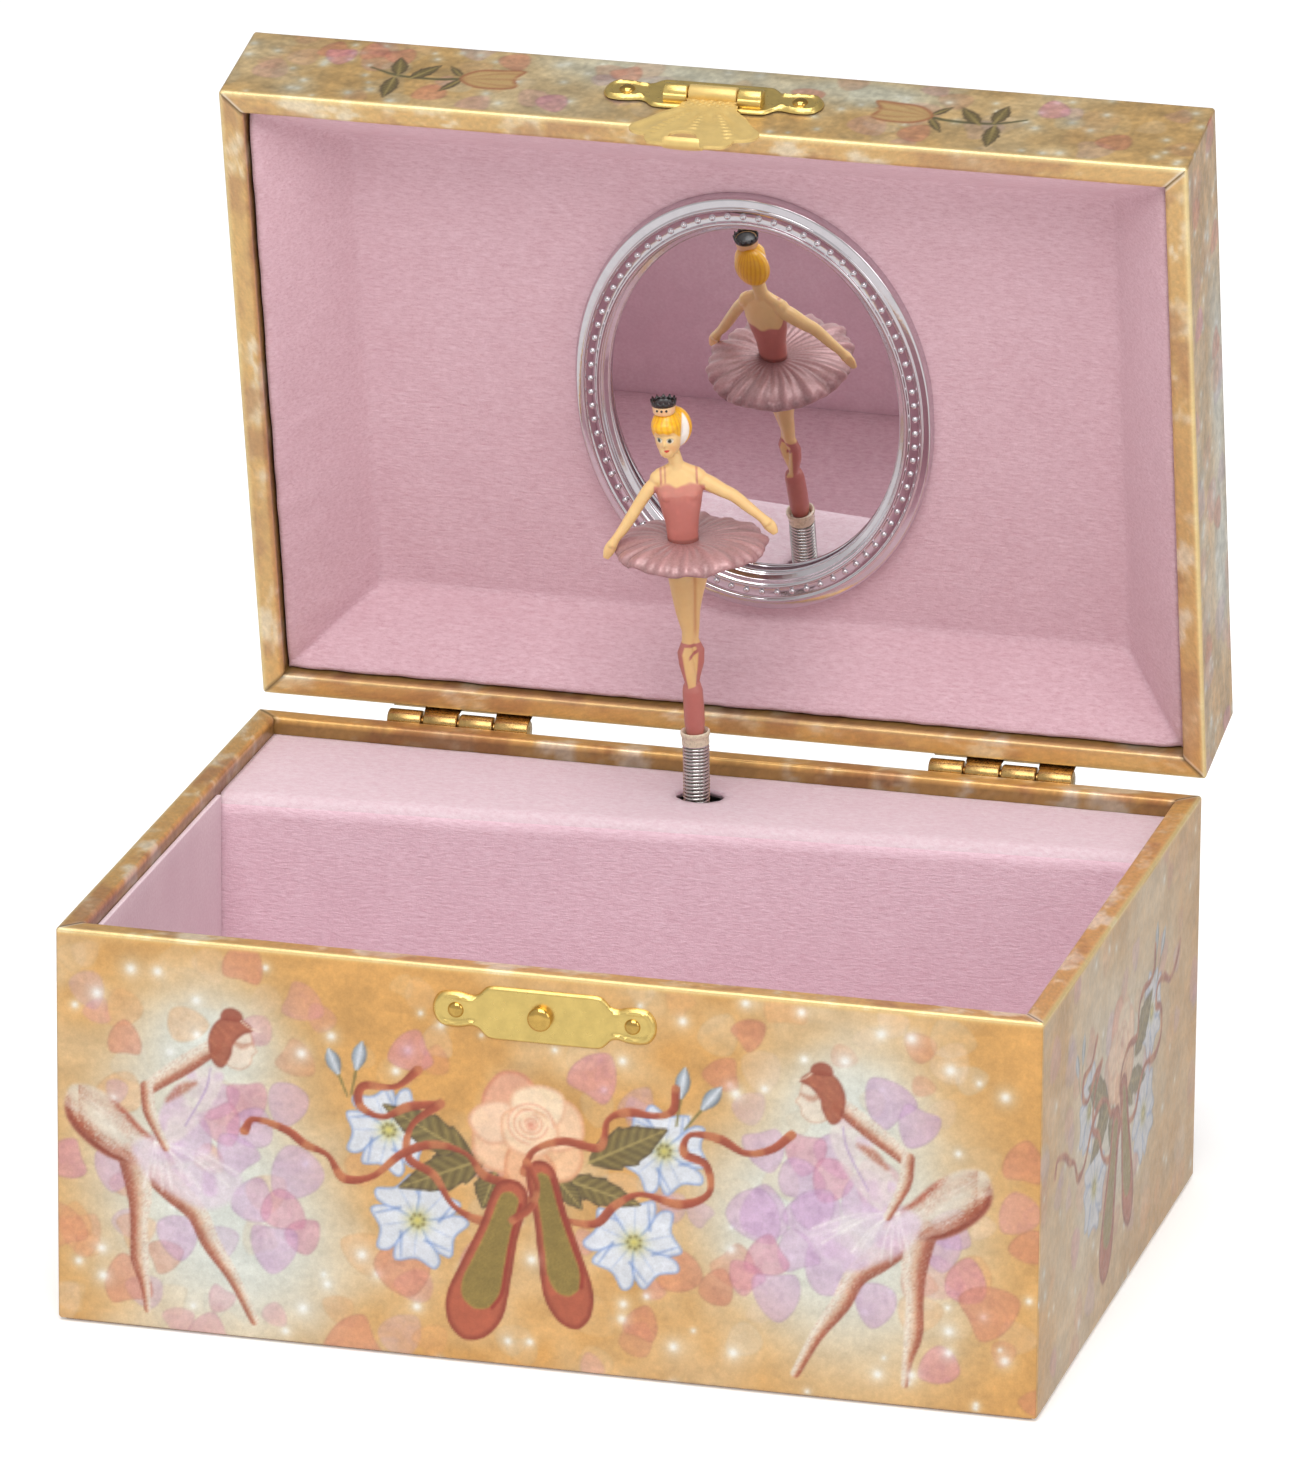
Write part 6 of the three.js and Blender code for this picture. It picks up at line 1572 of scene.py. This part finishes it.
def paint_figure(verts, head):
    """Paint on the moulding: leotard, straps, hair, and a plain doll's face turned a little aside."""
    x, y, z = verts.T
    colour = np.broadcast_to(SKIN, verts.shape).copy()
    up = z - WAIST
    across = np.abs(x + 0.42)
    half = np.interp(up, [0, 3, 5.4, 7.9, 9.4], [2.5, 2.7, 3.25, 3.8, 3.75])
    neckline = 9.5 - 0.25 * np.cos(across * 1.75) - 2.8 * smooth(0.1, 1.4, y) + 0.2 * noise(x, z, 6, 1.1)
    torso = smooth(0.3, -0.3, up - neckline) * smooth(half + 0.3, half + 0.02, across)
    strap = np.maximum(smooth(0.26, 0.1, np.abs(across - 2.75)),
                       0.8 * smooth(0.24, 0.1, np.abs(across - 2.1)) * (x < 0))
    strap = strap * smooth(-0.3, 0, up - neckline) * (up < 12.2) * (y < 0.2) * 0.75
    colour = paint(colour, np.maximum(torso, strap), CORAL)
    colour = paint(colour, torso * 0.35 * smooth(6.2, 9.2, up), linear(226, 160, 136))
    mottled = smooth(0.2, 0.9, noise(x, z, 5, 0.9)) * torso
    colour = paint(colour, mottled * 0.25, CORAL * 1.35)
    # painted shade: the leotard darkens just above the waist, where the skirt meets it
    colour = paint(colour, smooth(0.6, 0.1, up) * torso * 0.7, CORAL * 0.4)
    hx, hy, hz = (verts - head).T
    turn = math.radians(16)
    fx, fy = hx * math.cos(turn) - hy * math.sin(turn), hx * math.sin(turn) + hy * math.cos(turn)
    above = hz > -3.6
    hairline = 1.45 + 0.14 * np.cos(fx * 4.2) - 1.2 * smooth(1.2, 2.4, np.abs(fx))
    hair = above * smooth(-0.1, 0.1, np.maximum(hz - hairline, fy - 0.35)) * smooth(-2.6, -2.2, hz)
    strands = 0.5 + 0.5 * np.sin(np.arctan2(fx, -fy + 1) * 26 + hz * 1.2)
    colour = paint(colour, hair, HAIR)
    colour = paint(colour, hair * 0.45 * smooth(0.35, 0.9, strands), linear(214, 128, 20))
    veil = above * smooth(1.75, 2.05, hx - 0.1 * hz) * smooth(1.3, 1.0, fy)
    veil = veil * smooth(-2.4, -2.0, hz) * smooth(4.6, 4.2, hz)
    colour = paint(colour, veil, VEIL)
    front = (fy < -0.8) & above
    for side in (-1, 1):
        ex, ez = fx - side * 0.86, hz - 0.22
        socket = smooth(1.15, 0.9, np.hypot(ex / 0.5, ez / 0.38)) * front
        colour = paint(colour, socket, linear(226, 214, 196))
        iris = smooth(1.15, 0.85, np.hypot((ex + 0.03) / 0.29, (ez + 0.01) / 0.34)) * front
        colour = paint(colour, iris, linear(66, 78, 62))
        pupil = smooth(1.2, 0.8, np.hypot((ex + 0.03) / 0.15, ez / 0.19)) * front
        colour = paint(colour, pupil, INK)
        lash = smooth(0.1, 0.04, np.abs(ez - 0.38 + 0.9 * ex ** 2)) * (np.abs(ex) < 0.5) * front
        colour = paint(colour, lash * 0.5, INK)
        brow = smooth(0.1, 0.04, np.abs(ez - 0.9 + 0.7 * ex ** 2)) * (np.abs(ex) < 0.55) * front
        colour = paint(colour, brow * 0.35, linear(186, 130, 70))
        cheek = np.exp(-((fx - side * 1.2) ** 2 + (hz + 1.0) ** 2) / 0.35) * front
        colour = paint(colour, cheek * 0.3, linear(228, 140, 104))
    lips = smooth(1.15, 0.85, np.hypot((fx - 0.25) / 0.42,
                                       (hz + 1.5 - 0.5 * (fx - 0.25) ** 2) / 0.21)) * front
    return paint(colour, lips, LIPS)


def add_headdress(parts, head):
    """A peach band with three dots on top of the hair, and a small spiky crown on it."""
    at = head + (-0.45, -0.05, 0)
    band = [(1.5, 4.0), (1.72, 4.3), (1.78, 4.9), (1.82, 5.5), (1.76, 5.7), (1.2, 5.7)]
    verts = np.concatenate([ring(round_steps(40), r, z, 1.02) for r, z in band])
    parts.add(verts + at, ring_faces(len(band), 40), linear(236, 190, 142))
    for k in (-1, 0, 1):
        a = -math.pi / 2 - 0.2 + k * 0.42
        parts.add(*ball(tuple(at + (1.78 * math.cos(a), 1.82 * math.sin(a), 4.95)), (0.2, 0.2, 0.2), 6, 10),
                  colour=INK)
    count = 12 * 4                # twelve spikes
    angle = round_steps(count)
    tall = np.array([0.5 + 0.55 * (k % 4 == 0) + 0.12 * (k % 2) for k in range(count)])
    spread = 1 + 0.06 * (tall - 0.6)
    loops = [(1.9, 0), (2.0 * spread, tall), (1.72 * spread, tall * 0.96), (1.6, 0)]
    verts = np.concatenate([ring(angle, r, z) for r, z in loops]) + at + (0, 0, 5.45)
    parts.add(verts, grid_faces(len(loops), count, wrap_rows=True, wrap_columns=True), INK)
    parts.add(*ball(tuple(at + (0, 0.1, 5.6)), (1.68, 1.68, 0.45), 6, 24), colour=INK)


# ---- Movement, key and the rest of the CAD nodes --------------------------------------------------
def finish_cad_nodes():
    """Nodes that keep their CAD shape: the clockwork inside, the winding key and the underside."""
    brushed = metal_look("brushed_steel", (178, 178, 176), (0.26, 0.42), 0.8, (1, 1, 7))
    machined = metal_look("machined_brass", (206, 172, 96), (0.22, 0.36), 0.8, (6, 1, 1))
    underside = paper_look("underside_paper", (158, 116, 70), 0.05, (0.55, 0.7))
    for look, names in (
            (brushed, ("movement_bedplate", "music_comb", "comb_bed", "governor_worm", "winding_arbor",
                       "winding_key")),
            (STEEL, ("movement_screw_1", "movement_screw_2", "movement_screw_3", "comb_screw_1",
                     "comb_screw_2")),
            (machined, ("spring_barrel", "cylinder_arbor", "music_cylinder", "governor_frame", "worm_wheel",
                        "dancer_spindle")),
            (underside, ("base_underside_paper", "base_floor"))):
        for name in names:
            NODES[name].data.materials.clear()
            NODES[name].data.materials.append(look)


# ---- Camera, light and floor ----------------------------------------------------------------------
def build_camera():
    """A long lens, above and to the right of the box's front."""
    data = bpy.data.cameras.new("camera")
    data.lens, data.sensor_width, data.sensor_fit = CAMERA_LENS, 36.0, "AUTO"
    data.clip_start, data.clip_end = 0.05, 50
    camera = bpy.data.objects.new("camera", data)
    bpy.context.scene.collection.objects.link(camera)
    yaw, pitch, roll = (math.radians(a) for a in CAMERA_TURN)
    ahead = Vector((math.sin(yaw) * math.cos(pitch), math.cos(yaw) * math.cos(pitch), -math.sin(pitch)))
    right = Vector((math.cos(yaw), -math.sin(yaw), 0))
    below = ahead.cross(right)
    right, down = (math.cos(roll) * right + math.sin(roll) * below,
                   math.cos(roll) * below - math.sin(roll) * right)
    camera.matrix_world = Matrix.Translation(CAMERA_AT) @ Matrix(
        (right, -down, -ahead)).transposed().to_4x4()
    bpy.context.scene.camera = camera


def area_light(name, at, size, power):
    """A soft light that points at the middle of the box."""
    data = bpy.data.lights.new(name, "AREA")
    data.shape, data.size, data.size_y, data.energy = "RECTANGLE", *size, power
    light = bpy.data.objects.new(name, data)
    bpy.context.scene.collection.objects.link(light)
    light.location = at
    middle = Vector((0, 0, 0.06))
    light.rotation_euler = (middle - Vector(at)).to_track_quat("-Z", "Y").to_euler()


def build_studio():
    """A white table under soft lights. What metal reflects is bright in front and below, dim behind."""
    world = bpy.data.worlds.new("studio")
    bpy.context.scene.world = world
    world.use_nodes = True
    tree = world.node_tree
    split = tree.nodes.new("ShaderNodeSeparateXYZ")
    tree.links.new(tree.nodes.new("ShaderNodeTexCoord").outputs["Generated"], split.inputs[0])

    def ramp(source, start, stop, low, high):
        made = tree.nodes.new("ShaderNodeMapRange")
        made.interpolation_type = "SMOOTHSTEP"
        tree.links.new(source, made.inputs[0])
        for index, value in enumerate((start, stop, low, high)):
            if isinstance(value, bpy.types.NodeSocket):
                tree.links.new(value, made.inputs[index + 1])
            else:
                made.inputs[index + 1].default_value = value
        return made.outputs[0]

    below = ramp(split.outputs[1], 0.6, -0.7, 0.62, 0.96)
    above = ramp(split.outputs[1], 0.6, -0.7, 0.3, 0.62)
    tree.links.new(ramp(split.outputs[2], 0.12, -0.16, above, below), tree.nodes["Background"].inputs[1])
    tree.nodes["Background"].inputs[0].default_value = (1, 1, 1, 1)
    area_light("key", (0.12, -0.96, 1.27), (1.1, 0.8), 12)
    area_light("top", (0.0, -0.15, 1.45), (1.0, 0.7), 7)
    area_light("fill", (1.1, -0.55, 0.6), (0.5, 0.7), 2)
    look = Look("studio_floor", Roughness=0.9, Specular_IOR_Level=0.0, Emission_Strength=0.25)
    look.shader.inputs["Emission Color"].default_value = (1, 1, 1, 1)
    look.set("Base Color", look.mix(look.span(look.noise(6, 2), 0, 1), (0.87, 0.87, 0.87),
                                    (0.89, 0.89, 0.89)))
    mesh = bpy.data.meshes.new("studio_floor")
    reach, front, edge, radius, height = 6.0, -4, 2.2, 1.2, 5
    sweep = [(front, 0), (edge, 0)]
    for a in np.linspace(0.2, math.pi / 2, 8):
        sweep.append((edge + radius * math.sin(a), radius - radius * math.cos(a)))
    sweep.append((edge + radius, height))
    rows = [(x, y, z - 0.0001) for y, z in sweep for x in (-reach, reach)]
    mesh.from_pydata(rows, [], [[2 * k, 2 * k + 1, 2 * k + 3, 2 * k + 2] for k in range(len(sweep) - 1)])
    mesh.shade_smooth()
    floor = bpy.data.objects.new("studio_floor", mesh)
    bpy.context.scene.collection.objects.link(floor)
    mesh.materials.append(look.material)
    floor.visible_glossy = False
    bpy.context.scene.view_settings.view_transform = "Standard"


build_camera()
build_studio()
build_boards()
build_lid_lining()
build_cover()
build_base_lining()
build_latch()
build_clasp()
build_hasp()
build_hinges()
build_mirror()
build_spring()
build_dancer()
finish_cad_nodes()
